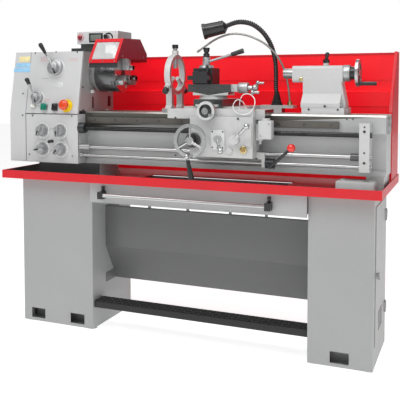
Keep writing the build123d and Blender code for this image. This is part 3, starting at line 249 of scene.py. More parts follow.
# ------------------------------------------------------------------ dressing the CAD nodes
def dress(node, base, *rules):
    """Materials by place: each rule is (material, test(centre mm, normal))."""
    o = N[node]
    me = o.data
    me.materials.clear()
    me.materials.append(M[base])
    for i, (mat, _) in enumerate(rules):
        me.materials.append(M[mat])
    if not rules:
        for p in me.polygons:
            p.material_index = 0
        return
    for p in me.polygons:
        c = p.center
        q = (c.x * 1000, (c.y - SY) * 1000, c.z * 1000)
        k = 0
        for i, (_, test) in enumerate(rules):
            if test(q, p.normal):
                k = i + 1
                break
        p.material_index = k


def soften(node, width, angle=32, seg=2):
    o = N[node]
    w = o.modifiers.new("weld", "WELD")
    w.merge_threshold = 1e-5
    b = o.modifiers.new("edge", "BEVEL")
    b.width = width / 1000
    b.segments = seg
    b.limit_method = "ANGLE"
    b.angle_limit = math.radians(angle)
    b.harden_normals = True
    b.use_clamp_overlap = True
    b.miter_outer = "MITER_ARC"


def rad(q, y, z):
    return math.hypot(q[1] - y, q[2] - z)


PPY, PPZ, PDY, PDZ, PNY, PNZ = -165, 995, 0.17532, 0.98451, -0.98451, 0.17532


def pan(x, s, h=0.0):
    return P(x, PPY + PDY * s + PNY * h, PPZ + PDZ * s + PNZ * h)


def ps(q):
    """(distance up the leaning panel, distance proud of it)"""
    dy, dz = q[1] - PPY, q[2] - PPZ
    return dy * PDY + dz * PDZ, dy * PNY + dz * PNZ


dress("left_cabinet", "cabinet", ("dark", lambda q, n: q[2] < 5.9))
dress("right_cabinet", "cabinet", ("dark", lambda q, n: q[2] < 5.9))
dress("cabinet_door", "cabinet")
# painted shade: the tray's inside under the headstock (x < -420) gets dark steel for the shadow under the gearbox
dress("chip_tray", "redlip", ("dark", lambda q, n: q[0] < -420 and -229.5 < q[1] < 329.5 and -876 < q[0] and q[2] < 727 and q[2] > 695), ("traygrey", lambda q, n: n.z > 0.9 and q[2] < 700 or (q[2] < 727 and q[2] > 695 and -229.5 < q[1] < 329.5 and -876 < q[0] < 877)))
dress("chip_drawer", "drawer", ("bright", lambda q, n: q[1] < -213 and -328 < q[0] < 421 and rad(q, -232, 638) < 9.5), ("black", lambda q, n: q[1] < -206.5))
# painted shade: the trough's dark colour stands for the shadow under the tray
dress("splash_trough", "trough")
dress("brake_treadle", "rubber")
dress("bed", "machine",
      # painted shade: front-facing bed faces under the headstock and gearbox (x < -440, below z 790) get dark steel for
      # the shadow there
      ("dark", lambda q, n: q[0] < -440 and q[2] < 790 and n.y < -0.5),
      ("rack", lambda q, n: q[1] < -97.05 and -481 < q[0] < 691 and 952 < q[2] < 982),
      ("castlight", lambda q, n: q[0] > 780 and q[0] < 822 and q[1] < -97.1),
      ("waytop", lambda q, n: q[2] > 1000.5 or (n.z > 0.3 and q[2] > 984)),
      ("way", lambda q, n: q[2] > 966 and abs(n.y) > 0.9 and abs(q[1]) > 90),
      ("waytop", lambda q, n: q[2] > 990))
dress("headstock_casting", "headgrey", ("bright", lambda q, n: q[0] > -498 and q[1] > 165))
dress("control_panel", "panel", ("yellow", lambda q, n: abs(q[0] + 560) < 31 and 5 < ps(q)[0] < 72 and ps(q)[1] > 2.2),
      ("chrome", lambda q, n: ps(q)[1] > 2.2 and ps(q)[0] < 80))
dress("gearbox_housing", "panel")
dress("end_gear_cover", "panel")
dress("end_cover_backplate", "oxide")
for g in ("idler_gear", "gearbox_input_gear", "input_shaft", "motor_pulley"):
    dress(g, "gun")
dress("motor", "machine", ("belt", lambda q, n: q[0] < -835))
dress("spindle", "steelturn")
dress("spindle_bearings", "bright")
dress("chuck_body", "gun", ("satin", lambda q, n: q[0] < -461.5), ("bright", lambda q, n: n.x > 0.9 and q[0] > -353))
for i in (1, 2, 3):
    dress("chuck_jaw_%d" % i, "bright", ("gun", lambda q, n: q[0] < -320))
# painted shade: the guard's right-facing end faces (x > -320) get a dark red for the shade on that side
dress("chuck_guard", "redlip", ("reddark", lambda q, n: n.x > 0.7 and q[0] > -320))
dress("guard_window", "glass")
LU, LL = (-638, 218), (-724, 74)


def lever_rules(hx, hs):
    return (("black", lambda q, n: math.hypot(q[0] - hx, ps(q)[0] - hs) > 62),
            ("satin", lambda q, n: math.hypot(q[0] - hx, ps(q)[0] - hs) > 39))


dress("speed_lever_upper", "satin", *lever_rules(*LU))
dress("speed_lever_lower", "satin", *lever_rules(*LL))
for i in (1, 2, 3, 4):
    dress("selector_knob_%d" % i, "satin")
dress("start_button", "greenb")
dress("stop_button", "black")
dress("estop_button", "redb", ("black", lambda q, n: ps(q)[1] < 12))
# painted shade: the underside and pedestal of the display box (below z 1338.5) get dark steel for the shade under its
# overhang
dress("display_box", "headgrey", ("plate", lambda q, n: n.y < -0.7 and q[2] > 1337 and q[1] < 141), ("dark", lambda q, n: q[2] < 1338.5))
dress("leadscrew", "oxide")
dress("feed_rod", "bright", ("satin", lambda q, n: q[0] < -430 and rad(q, -145, 843) > 10.2), ("dark", lambda q, n: rad(q, -145, 843) > 10.2))
dress("control_rod", "bright")
dress("saddle", "castlight", ("waytop", lambda q, n: n.z > 0.9 and q[2] < 1027 and 60 < q[0] < 216 and q[1] > -150),
      ("black", lambda q, n: abs(n.x) > 0.9 and (q[0] < -37 or (399 < q[0] < 401))))
dress("apron", "castlight", ("castlight", lambda q, n: False))
dress("cross_slide", "gun", ("castlight", lambda q, n: 1067.5 < q[2] < 1090.5))
dress("cross_feed_wheel", "castlight", ("chrome", lambda q, n: q[1] < -251), ("satin", lambda q, n: -233 < q[1]))
dress("compound_slide", "gun", ("castlight", lambda q, n: q[0] > 227))
dress("compound_crank", "bright", ("satin", lambda q, n: q[0] < 293))
dress("tool_post", "oxide", ("satin", lambda q, n: q[2] > 1205))
dress("tool_post_lever", "satin", ("black", lambda q, n: q[0] > 195))
dress("steady_rest", "castlight", ("black", lambda q, n: math.hypot(q[1], q[2] - 1177) > 118.5 and 1070 < q[2] < 1140 and abs(q[1]) > 80), ("satin", lambda q, n: abs(n.x) > 0.9 and q[2] > 1040), ("bright", lambda q, n: q[2] < 1024.5))
dress("steady_finger_top", "satin", ("black", lambda q, n: q[2] > 1295))
dress("tailstock", "castlight", ("dark", lambda q, n: q[2] < 1006))
dress("quill", "bright")
dress("quill_clamp_lever", "black")
dress("backsplash", "red", ("redlip", lambda q, n: q[2] > 1262 or q[0] > 862))
dress("control_lever", "oxide", ("ballred", lambda q, n: (Vector(q) - Vector((526, -225, 878))).length < 17.6))
dress("feed_lever", "chrome")
dress("half_nut_lever", "castlight", ("chrome", lambda q, n: q[2] > 925))

for n_, w_ in dict(left_cabinet=1.5, right_cabinet=1.5, cabinet_door=1.0, chip_tray=1.2, chip_drawer=1.0, bed=1.2, headstock_casting=3.0, control_panel=0.8,
                   gearbox_housing=2.0, end_gear_cover=2.0, display_box=1.5, chuck_body=1.2, saddle=2.0, apron=3.0, cross_slide=1.0, compound_slide=1.0,
                   tool_post=1.0, tailstock=2.0, steady_rest=2.0, chuck_guard=1.0, quill=0.8, cross_feed_wheel=1.2, half_nut_lever=1.5, backsplash=0.8,
                   splash_trough=0.8, tool_post_lever=0.8, compound_crank=0.8).items():
    soften(n_, w_)


# ------------------------------------------------------------------ piece builders
def basis(d):
    d = d.normalized()
    a = Vector((0, 0, 1)) if abs(d.z) < 0.9 else Vector((1, 0, 0))
    u = a.cross(d).normalized()
    return u, d.cross(u), d


def finish_mesh(name, bm, mats, body, sharp=35, smooth=True):
    bmesh.ops.recalc_face_normals(bm, faces=bm.faces[:])
    me = bpy.data.meshes.new(name)
    bm.to_mesh(me)
    bm.free()
    for m in mats:
        me.materials.append(M[m])
    if smooth:
        me.polygons.foreach_set("use_smooth", [True] * len(me.polygons))
        me.set_sharp_from_angle(angle=math.radians(sharp))
    o = bpy.data.objects.new(name, me)
    bpy.context.scene.collection.objects.link(o)
    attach(o, body)
    return o


def add_turn(bm, p, d, prof, seg=40, mi=0, phase=0.0, shape=None):
    """Turned form: prof = [(radius m, height m[, material index])], from p along d."""
    u, v, d = basis(d)
    rings = []
    for it in prof:
        r, h = it[0], it[1]
        if r <= 1e-7:
            rings.append([bm.verts.new(p + d * h)])
            continue
        ring = []
        for i in range(seg):
            a = TAU * i / seg + phase
            k = shape(i, len(rings)) if shape else 1.0
            ring.append(bm.verts.new(p + d * h + (u * math.cos(a) + v * math.sin(a)) * r * k))
        rings.append(ring)
    for j in range(len(rings) - 1):
        a, b = rings[j], rings[j + 1]
        m = prof[j + 1][2] if len(prof[j + 1]) > 2 else mi
        for i in range(seg):
            i2 = (i + 1) % seg
            if len(a) == 1 and len(b) == 1:
                continue
            if len(a) == 1:
                f = bm.faces.new((a[0], b[i], b[i2]))
            elif len(b) == 1:
                f = bm.faces.new((a[i], b[0], a[i2]))
            else:
                f = bm.faces.new((a[i], b[i], b[i2], a[i2]))
            f.material_index = m
    for ring, rev in ((rings[0], False), (rings[-1], True)):
        if len(ring) > 1:
            f = bm.faces.new(ring)
            f.material_index = (prof[0][2] if len(prof[0]) > 2 else mi) if not rev else (prof[-1][2] if len(prof[-1]) > 2 else mi)


def turned(name, p, d, prof, mats, body, seg=48, sharp=35):
    bm = bmesh.new()
    add_turn(bm, p, d, [(r[0] / 1000, r[1] / 1000, *(r[2:])) for r in prof], seg)
    return finish_mesh(name, bm, mats, body, sharp)


def add_box(bm, lo, hi, bev=0.0006, mi=0, rot=None, origin=None, seg=2):
    tmp = bmesh.new()
    bmesh.ops.create_cube(tmp, size=1)
    c, s = (lo + hi) / 2, hi - lo
    for v in tmp.verts:
        v.co = Vector((v.co.x * s.x, v.co.y * s.y, v.co.z * s.z)) + c
    if bev > 0:
        bmesh.ops.bevel(tmp, geom=tmp.edges[:], offset=bev, segments=seg, profile=0.5, affect="EDGES")
    if rot is not None:
        bmesh.ops.transform(tmp, matrix=Matrix.Translation(origin) @ rot @ Matrix.Translation(-origin), verts=tmp.verts)
    vm = {v: bm.verts.new(v.co) for v in tmp.verts}
    for f in tmp.faces:
        g = bm.faces.new([vm[v] for v in f.verts])
        g.material_index = mi
    tmp.free()


def add_frame_box(bm, origin, u, v, w, a, b, c, bev=0.0006, mi=0):
    """Box centred at origin with axes u, v, w and full sizes a, b, c."""
    tmp = bmesh.new()
    bmesh.ops.create_cube(tmp, size=1)
    for x in tmp.verts:
        x.co = Vector((x.co.x * a, x.co.y * b, x.co.z * c))
    if bev > 0:
        bmesh.ops.bevel(tmp, geom=tmp.edges[:], offset=bev, segments=2, profile=0.5, affect="EDGES")
    vm = {x: bm.verts.new(origin + u * x.co.x + v * x.co.y + w * x.co.z) for x in tmp.verts}
    for f in tmp.faces:
        g = bm.faces.new([vm[x] for x in f.verts])
        g.material_index = mi
    tmp.free()


def hexk(i, n=24):
    a = (i / n) * TAU
    k = a % (TAU / 6) - TAU / 12
    return math.cos(TAU / 12) / math.cos(k)


def add_screw(bm, p, d, r, mi=0, mrec=1, h=None):
    """Socket-head screw standing on the surface at p, head radius r."""
    u, v, d = basis(d)
    h = h or r * 0.55
    rs = [(r, 0, 0), (r, h * 0.75, 0), (r * 0.88, h, 0), (r * 0.52, h, 1), (r * 0.5, h * 0.25, 1)]
    rings = []
    for rr, hh, hx in rs:
        rings.append([bm.verts.new(p + d * hh + (u * math.cos(TAU * i / 24) + v * math.sin(TAU * i / 24)) * rr * (hexk(i) if hx else 1)) for i in range(24)])
    for j in range(len(rings) - 1):
        for i in range(24):
            f = bm.faces.new((rings[j][i], rings[j + 1][i], rings[j + 1][(i + 1) % 24], rings[j][(i + 1) % 24]))
            f.material_index = mrec if j == 3 else mi
    f = bm.faces.new(rings[-1])
    f.material_index = mrec
    bm.faces.new(rings[0])


def screws(name, body, items, mat="gun", rec="black"):
    bm = bmesh.new()
    for p, d, r in items:
        add_screw(bm, p, d, r / 1000)
    return finish_mesh(name, bm, [mat, rec], body)


def spline(pts, step=0.002):
    """Points along a Catmull-Rom curve, about one step apart."""
    out = []
    q = [pts[0] * 2 - pts[1]] + list(pts) + [pts[-1] * 2 - pts[-2]]
    for i in range(1, len(q) - 2):
        a, b, c, d = q[i - 1], q[i], q[i + 1], q[i + 2]
        n = max(2, int((c - b).length / step))
        for k in range(n):
            t = k / n
            out.append(0.5 * ((2 * b) + (c - a) * t + (2 * a - 5 * b + 4 * c - d) * t * t + (3 * b - a - 3 * c + d) * t ** 3))
    out.append(pts[-1].copy())
    return out


def add_sweep(bm, path, radius, seg=16, mi=0, closed=False):
    """Round tube along path; radius is a number or a function of arc length."""
    n = len(path)
    t0 = (path[1] - path[0]).normalized()
    u, v, _ = basis(t0)
    rings, s = [], 0.0
    for i, p in enumerate(path):
        t = (path[min(i + 1, n - 1)] - path[max(i - 1, 0)]).normalized()
        u = (u - t * u.dot(t)).normalized()
        v = t.cross(u)
        if i:
            s += (p - path[i - 1]).length
        r = radius(s) if callable(radius) else radius
        rings.append([bm.verts.new(p + (u * math.cos(TAU * k / seg) + v * math.sin(TAU * k / seg)) * r) for k in range(seg)])
    for j in range(n - 1):
        for k in range(seg):
            f = bm.faces.new((rings[j][k], rings[j + 1][k], rings[j + 1][(k + 1) % seg], rings[j][(k + 1) % seg]))
            f.material_index = mi
    bm.faces.new(rings[0]).material_index = mi
    bm.faces.new(rings[-1]).material_index = mi


X, Y, Z = Vector((1, 0, 0)), Vector((0, 1, 0)), Vector((0, 0, 1))
PN = Vector((0, PNY, PNZ))
PD = Vector((0, PDY, PDZ))

# ------------------------------------------------------------------ leadscrew with its thread
LZ = 931
bm = bmesh.new()
pitch, r0, r1 = 6.0, 8.6, 11.0
x0, x1 = -496.0, 776.0
seg = 20
turns = (x1 - x0) / pitch
nst = int(turns * seg)
prof = [(0.0, r1), (0.32, r1), (0.5, r0), (0.82, r0)]
cols = []
for k, (fr, rr) in enumerate(prof):
    col = []
    for i in range(nst + 1):
        a = TAU * i / seg
        x = x0 + pitch * (i / seg + fr)
        col.append(bm.verts.new(P(x, -145 + rr * math.cos(a), LZ + rr * math.sin(a))))
    cols.append(col)
for k in range(4):
    for i in range(nst):
        a, b = cols[k][i], cols[k][i + 1]
        if k < 3:
            c, d = cols[k + 1][i + 1], cols[k + 1][i]
        else:
            if i + seg + 1 > nst:
                continue
            c, d = cols[0][i + seg + 1], cols[0][i + seg]
        bm.faces.new((a, b, c, d))
add_turn(bm, P(x0 - 34, -145, LZ), X, [(0.011, 0), (0.011, 0.036), (0.0086, 0.037)], 32)
add_turn(bm, P(x1, -145, LZ), X, [(0.0086, -0.004), (0.0086, 0.004), (0.011, 0.0045), (0.011, 0.052)], 32)
add_turn(bm, P(-530, -145, LZ), X, [(0.012, 0), (0.0168, 0.0005), (0.017, 0.002), (0.017, 0.0275), (0.0165, 0.029), (0.012, 0.0295)], 40, mi=1)
scr = finish_mesh("leadscrew_thread", bm, ["screwdark", "gun"], "leadscrew", 40)
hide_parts("leadscrew")

# ------------------------------------------------------------------ rack teeth and screws on the bed
bm = bmesh.new()
t = 4.71
xk = -479.0
while xk < 686:
    add_frame_box(bm, P(xk + t / 2, -106.0, 954.6), X, Y, Z, 0.0024, 0.011, 0.0056, 0.0004)
    xk += t
rk = finish_mesh("rack_teeth", bm, ["rack"], "frame")
items = [(P(x, -110.6, 967), -Y, 5.2) for x in range(-440, 690, 110)]
items += [(P(x, -97.05, 991), -Y, 3.2) for x in (-470, 720, 745)]
items += [(P(801, -158, z), -Y, 5.6 if z in (946, 823) else 3.8) for z in (964, 946, 863, 823)]
screws("bed_screws", "frame", items, "gun")

# ------------------------------------------------------------------ remaining nodes
dress("work_lamp", "black")
dress("coolant_pipe", "pipe", ("hose", lambda q, n: 262 < q[0] < 378 and q[1] < -145 and q[2] > 1000), ("brass", lambda q, n: q[0] > 400 and q[2] < 1060))
dress("tailstock_wheel", "bright", ("satin", lambda q, n: q[0] < 716.5), ("black", lambda q, n: q[0] < 741 and rad(q, 0, 1177) > 17), ("black", lambda q, n: q[0] > 757))
dress("carriage_wheel", "chrome", ("black", lambda q, n: q[2] < 836 and q[1] < -275 and q[2] < 822), ("dark", lambda q, n: rad((0, q[0], q[2]), 105, 897) < 33 and q[1] > -262))


# ------------------------------------------------------------------ panel fittings
turned("run_lamp", pan(-748, 38, 0.4), PN, [(14.5, 0, 1), (14.5, 3, 1), (12.0, 4.2, 1), (11.6, 4.4, 0), (11.4, 10, 0), (9.8, 14.2, 0), (6, 17, 0), (0, 18, 0)], ["white", "chrome"], "frame", 40)
for nm, x0, x1, mat, body in (("start_cap", -696, -668, "greenb", "start_button"), ("stop_cap", -635, -611, "black", "stop_button")):
    bm = bmesh.new()
    xc, w2 = (x0 + x1) / 2, x1 - x0
    add_frame_box(bm, pan(xc, 31, 14.0), X, PD, PN, w2 / 1000, 0.031, 0.007, 0.0012)
    add_turn(bm, pan(xc, 33, 9.7), PN, [(0.0086, 0, 0), (0.0086, 0.0023, 0)], 32)
    add_frame_box(bm, pan(xc, 31, 18.2), X, PD, PN, (w2 - 10) / 1000, 0.021, 0.003, 0.0009)
    finish_mesh(nm, bm, [mat], body)
    bm = bmesh.new()
    add_frame_box(bm, pan(xc, 31, 3.2), X, PD, PN, (w2 + 4) / 1000, 0.036, 0.0045, 0.0014)
    finish_mesh(nm + "_bezel", bm, ["satin" if mat == "greenb" else "dark"], "frame")
turned("estop_mushroom", pan(-560, 38, 18.5), PN, [(9.0, -1), (9.0, 1.6), (12, 2.4), (20, 5), (24.5, 9), (25, 13), (23.5, 18), (19, 22.5), (12, 25), (0, 26)], ["redb"], "estop_button", 56)

# scale plates and wing handles of the feed selectors
turn_angle = {1: -155, 2: -172, 3: -98, 4: -140}
for i, (kx, kz) in {1: (-692, 916), 2: (-592, 916), 3: (-692, 829), 4: (-592, 829)}.items():
    bm = bmesh.new()
    add_turn(bm, P(kx, -166.2, kz), -Y, [(0.0392, 0, 0), (0.0392, 0.0009, 0), (0.032, 0.001, 0)], 56)
    for k in range(12):
        a = TAU * k / 12
        u = Vector((math.sin(a), 0, math.cos(a)))
        v = Vector((math.cos(a), 0, -math.sin(a)))
        add_frame_box(bm, P(kx, -167.5, kz) + u * 0.0352, v, Y, u, 0.0012, 0.0005, 0.0052, 0, 1)
    finish_mesh("selector_scale_%d" % i, bm, ["plate", "inkgrey"], "frame")
    a = math.radians(turn_angle[i])
    u = Vector((math.sin(a), 0, math.cos(a)))
    v = Vector((math.cos(a), 0, -math.sin(a)))
    bm = bmesh.new()
    add_turn(bm, P(kx, -166.6, kz), -Y, [(0.0308, 0, 0), (0.0308, 0.004, 0), (0.0298, 0.0052, 0), (0.0244, 0.0054, 0), (0.0244, 0.0255, 0), (0.0225, 0.0285, 0), (0, 0.0287, 0)], 56)
    add_frame_box(bm, P(kx, -200, kz), v, Y, u, 0.0125, 0.014, 0.0515, 0.003, 0)
    for q0, w0 in ((0.004, 0.0085), (0.012, 0.0068), (0.020, 0.0048)):
        add_frame_box(bm, P(kx, -207.1, kz) + u * q0, v, Y, u, w0, 0.0011, 0.0085, 0.0002, 1)
    for k in range(28):
        a = TAU * k / 28
        uu = Vector((math.sin(a), 0, math.cos(a)))
        vv = Vector((math.cos(a), 0, -math.sin(a)))
        add_frame_box(bm, P(kx, -181, kz) + uu * 0.0244, vv, Y, uu, 0.0022, 0.018, 0.0013, 0.0004, 0)
    kn = finish_mesh("selector_wing_%d" % i, bm, ["satin", "black"], "selector_knob_%d" % i)
    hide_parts("selector_knob_%d" % i)

# speed levers: the rod runs over the hub's face, with a dark pointer at its end
for nm, hx, hs, tx, ts, hr in (("speed_lever_upper", -638, 218, -703, 318, 38), ("speed_lever_lower", -724, 74, -762, 152, 28)):
    d2 = Vector((tx - hx, ts - hs)).normalized()
    w_ = X * d2.x + PD * d2.y
    s_ = (X * d2.y - PD * d2.x)
    k = hr / 38
    bm = bmesh.new()
    add_frame_box(bm, pan(hx, hs, 38.4), s_, w_, PN, 0.009 * k, 0.044 * k, 0.003, 0.0008, 0)
    add_frame_box(bm, pan(hx, hs, 39.2) - w_ * 0.026 * k, s_, w_, PN, 0.0075 * k, 0.03 * k, 0.003, 0.0008, 1)
    add_turn(bm, pan(hx, hs, 18.4), PN, [(hr * 0.00101, 0, 0), (hr * 0.00101, 0.0015, 0), (hr * 0.00094, 0.0033, 0), (hr * 0.0006, 0.0034, 0)], 64)
    add_turn(bm, pan(hx, hs, 36.2), PN, [(hr * 0.00063, 0, 0), (hr * 0.00063, 0.001, 0), (hr * 0.00057, 0.002, 0), (0, 0.0021, 0)], 56)
    finish_mesh(nm + "_face", bm, ["satin", "black", "satin"], nm)
    bm = bmesh.new()
    add_turn(bm, pan(hx, hs, 0.2), PN, [((hr + 7) / 1000, 0, 0), ((hr + 7) / 1000, 0.0007, 0), ((hr - 2) / 1000, 0.0008, 0)], 64)
    for j in range(9):
        a = math.radians(-60 + 15 * j) + math.atan2(d2.x, d2.y)
        uu = X * math.sin(a) + PD * math.cos(a)
        vv = X * math.cos(a) - PD * math.sin(a)
        add_frame_box(bm, pan(hx, hs, 1.1) + uu * (hr + 3.5) / 1000, vv, uu, PN, 0.0013, 0.005, 0.0005, 0, 1)
    finish_mesh(nm + "_scale", bm, ["plate", "inkgrey"], "frame")

# seam between panel and gearbox, rating plates without lettering, rules, screws
bm = bmesh.new()
add_box(bm, P(-788, -166.6, 992.6), P(-499, -164.4, 995.6), 0, 0)
finish_mesh("panel_seam", bm, ["black"], "frame")
bm = bmesh.new()
add_frame_box(bm, pan(-621, 137, 0.5), X, PD, PN, 0.050, 0.022, 0.0009, 0.0002, 0)
for k in range(5):
    add_frame_box(bm, pan(-621, 130 + 3.6 * k, 1.1), X, PD, PN, 0.042, 0.0006, 0.0004, 0, 1)
for k in range(3):
    add_frame_box(bm, pan(-709, 253 + 8 * k, 0.4), X, PD, PN, 0.047, 0.0013, 0.0005, 0, 2)
add_frame_box(bm, pan(-697, 168, 0.4), X, PD, PN, 0.036, 0.0022, 0.0005, 0, 1)
for k in range(2):
    add_frame_box(bm, pan(-548, 262 - 10 * k, 0.4), X, PD, PN, 0.05, 0.0012, 0.0005, 0, 2)
add_frame_box(bm, pan(-672, 66, 0.4), X, PD, PN, 0.034, 0.002, 0.0005, 0, 2)
finish_mesh("panel_plates", bm, ["plate", "inkgrey", "inkred"], "frame")
bm = bmesh.new()
add_frame_box(bm, pan(-824, 263, 0.5), X, PD, PN, 0.062, 0.026, 0.0009, 0.0002, 0)
add_frame_box(bm, pan(-829, 234, 0.5), X, PD, PN, 0.082, 0.019, 0.0009, 0.0002, 1)
add_frame_box(bm, pan(-834, 210, 0.5), X, PD, PN, 0.094, 0.021, 0.0009, 0.0002, 1)
finish_mesh("cover_strips", bm, ["ylab", "blab"], "end_gear_cover")
screws("cover_screws", "end_gear_cover", [(pan(-815.5, 95, 0.2), PN, 3.6), (P(-806, -166.2, 985), -Y, 3.6)], "dark")
screws("panel_screws", "frame", [(pan(-765, 292, 0.2), PN, 3.6), (pan(-530, 292, 0.2), PN, 3.6), (pan(-648, 296, 0.2), PN, 3.2), (P(-748, -166.2, 985), -Y, 3.6), (P(-530, -166.2, 985), -Y, 3.2),
                                  (P(-530, -166.2, 800), -Y, 3.2), (P(-770, -166.2, 800), -Y, 3.2)], "dark")
turned("gear_knob_small", P(-640, -166, 866), -Y, [(8, 0), (8, 4), (5, 5), (5, 18), (8, 19), (8, 26), (5.5, 29), (0, 29.5)], ["black"], "frame", 32)

# headstock side towards the chuck
bm = bmesh.new()
for a, b, z0, z1 in ((-36, -24, 1019, 1073), (110, 138, 1025, 1075)):
    add_box(bm, P(-500.6, a, z0), P(-498.9, b, z1), 0.0005, 0)
finish_mesh("headstock_slots", bm, ["black"], "frame")
turned("oil_filler", P(-500, -38, 1098), X, [(9, 0), (9, 4), (7, 5), (7, 11), (6, 12), (0, 12.3)], ["hose"], "frame", 32)
screws("headstock_screws", "frame", [(P(-500, -120, 1010), X, 7), (P(-500, -120, 1120), X, 5), (P(-500, 130, 1200), X, 5), (P(-500, -90, 1290), X, 5), (P(-500, 130, 1290), X, 5)], "gun")

# ------------------------------------------------------------------ tachometer box
bm = bmesh.new()
add_box(bm, P(-622, 136.6, 1345), P(-542, 139.2, 1391), 0.0016, 0)
add_box(bm, P(-612, 136.0, 1354), P(-552, 136.9, 1382), 0.0003, 1)
segs = {"a": (0, 1), "b": (1, 0.5), "c": (1, -0.5), "d": (0, -1), "e": (-1, -0.5), "f": (-1, 0.5), "g": (0, 0)}
for k, dig in enumerate(("abcdef",) * 4):
    cx_ = -602.5 + 13.6 * k
    for s_ in dig:
        ux, uz = segs[s_]
        if s_ in "adg":
            add_box(bm, P(cx_ - 3.4, 135.7, 1368 + uz * 9 - 0.8), P(cx_ + 3.4, 136.1, 1368 + uz * 9 + 0.8), 0, 2)
        else:
            add_box(bm, P(cx_ + ux * 4.6 - 0.8, 135.7, 1368 + uz * 9 - 3.7), P(cx_ + ux * 4.6 + 0.8, 135.7 + 0.4, 1368 + uz * 9 + 3.7), 0, 2)
finish_mesh("tacho_screen", bm, ["black", "lcd", "lcdseg"], "frame")
turned("tacho_ring", P(-672, 139.1, 1371), -Y, [(21, 0, 0), (21, 1, 0), (16, 1.2, 0), (15.6, 1.0, 1), (12.5, 1.4, 1), (12.4, 0.4, 1), (0, 0.4, 1)], ["pink", "plate"], "frame", 48)
turned("tacho_key", P(-672, 131.2, 1371), -Y, [(11.5, -7), (11.5, 1), (10, 4), (6, 6), (0, 6.6)], ["deepred"], "frame", 40)
bm = bmesh.new()
for k in range(14):
    a0, a1 = math.radians(-100 + 200 * k / 14), math.radians(-100 + 200 * (k + 1) / 14)
    am = (a0 + a1) / 2
    u = Vector((math.sin(am), 0, math.cos(am)))
    v = Vector((math.cos(am), 0, -math.sin(am)))
    add_frame_box(bm, P(-510, 138.4, 1366) + u * 0.0225, v, Y, u, 0.0072, 0.0012, 0.0065, 0, 0)
add_turn(bm, P(-516, 122.2, 1371), -Y, [(0.0128, 0, 0), (0.0125, 0.002, 0), (0.008, 0.0035, 0), (0, 0.0036, 0)], 40)
finish_mesh("tacho_dial", bm, ["black"], "frame")

# ------------------------------------------------------------------ chuck
bm = bmesh.new()
for a in (30, 150, 270):
    c, s = math.cos(math.radians(a)), math.sin(math.radians(a))
    d = Vector((0, c, s))
    add_turn(bm, P(-422, 80 * c, 1177 + 80 * s) - d * 0.001, d, [(0.0118, 0, 0), (0.0118, 0.0016, 0), (0.0104, 0.0022, 0), (0.0075, 0.0023, 0), (0.007, 0.0004, 1)], 36)
for a in (60, 180, 300):
    c, s = math.cos(math.radians(a)), math.sin(math.radians(a))
    add_screw(bm, P(-352.2, 62 * c, 1177 + 62 * s), X, 0.0062)
for a in range(0, 360, 60):
    c, s = math.cos(math.radians(a + 15)), math.sin(math.radians(a + 15))
    add_screw(bm, P(-476.2, 66 * c, 1177 + 66 * s), -X, 0.0055)
finish_mesh("chuck_fittings", bm, ["bright", "black"], "spindle")
bm = bmesh.new()
for x in (-456, -452, -362, -358):
    add_turn(bm, P(x, 0, 1177), X, [(0.0798, 0), (0.0804, 0.0004), (0.0804, 0.0012), (0.0798, 0.0016)], 96)
finish_mesh("chuck_grooves", bm, ["dark"], "spindle")

# ------------------------------------------------------------------ guard
bm = bmesh.new()
add_box(bm, P(-452, -137.8, 1208), P(-306, -134.2, 1236), 0.0008, 0)
finish_mesh("guard_brush_strip", bm, ["oxide"], "chuck_guard")
screws("guard_screws", "chuck_guard", [(P(x, -141.2, 1238), -Y, 3.2) for x in (-440, -380, -318)] + [(P(-305, y, 1262), X, 4) for y in (-90, 120)], "bright")

# ------------------------------------------------------------------ lamp: ribbed gooseneck, boot, head
ARM = [(368, 117, 1070), (364, 116, 1130), (365, 112, 1190), (362, 102, 1250), (347, 84, 1312), (316, 62, 1365), (271, 42, 1400), (215, 26, 1408), (158, 11, 1389)]
path = spline([P(*a) for a in ARM], 0.0018)
bm = bmesh.new()
add_sweep(bm, path, lambda s: 0.0100 + 0.0013 * math.sin(TAU * s / 0.0095), 18)
finish_mesh("gooseneck", bm, ["black"], "carriage", 60)
turned("lamp_boot", P(368, 117, 1039.6), Z, [(27, 0), (27, 6), (22, 7), (23, 14), (19, 16), (20, 24), (16.5, 26), (17.5, 34), (14, 36), (15, 44), (12, 46), (12.5, 56), (10, 58)], ["rubber"], "carriage", 40, 25)
hd = (P(66, -18, 1366) - P(150, 9, 1386)).normalized()
hp = P(150, 9, 1386)
bm = bmesh.new()
add_turn(bm, hp - hd * 0.004, hd, [(0.014, -0.012), (0.022, -0.006), (0.0302, 0.001), (0.0306, 0.006), (0.0296, 0.007), (0.0302, 0.013), (0.0306, 0.014), (0.0302, 0.019), (0.0296, 0.020)], 48)
add_turn(bm, hp + hd * 0.078, hd, [(0.0332, 0), (0.0352, 0.001), (0.0354, 0.013), (0.0338, 0.0145), (0.0318, 0.0135), (0.0312, 0.004)], 56)
finish_mesh("lamp_shell", bm, ["black"], "carriage")
turned("lamp_lens", hp + hd * 0.079, hd, [(30.5, 0), (30.5, 3), (24, 5.5), (12, 7), (0, 7.4)], ["bulb"], "carriage", 48)

# ------------------------------------------------------------------ tool post and levers
turned("tool_post_dome", P(92, -45, 1202.2), Z, [(34, 0), (34, 4), (31, 9), (26, 12.5), (18, 14), (17.4, 14)], ["satin"], "compound_slide", 56)
turned("tool_post_nut", P(92, -45, 1250), Z, [(13, 0), (14, 2), (14, 16), (10, 19), (9, 22), (12, 24), (15, 40), (14, 43), (0, 44)], ["black"], "tool_post_lever", 40)
screws("tool_post_screws", "compound_slide", [(P(x, -112, 1186), Z, 4.2) for x in (64, 78, 106, 120)] + [(P(x, -4, 1202), Z, 4) for x in (56, 128)], "dark")

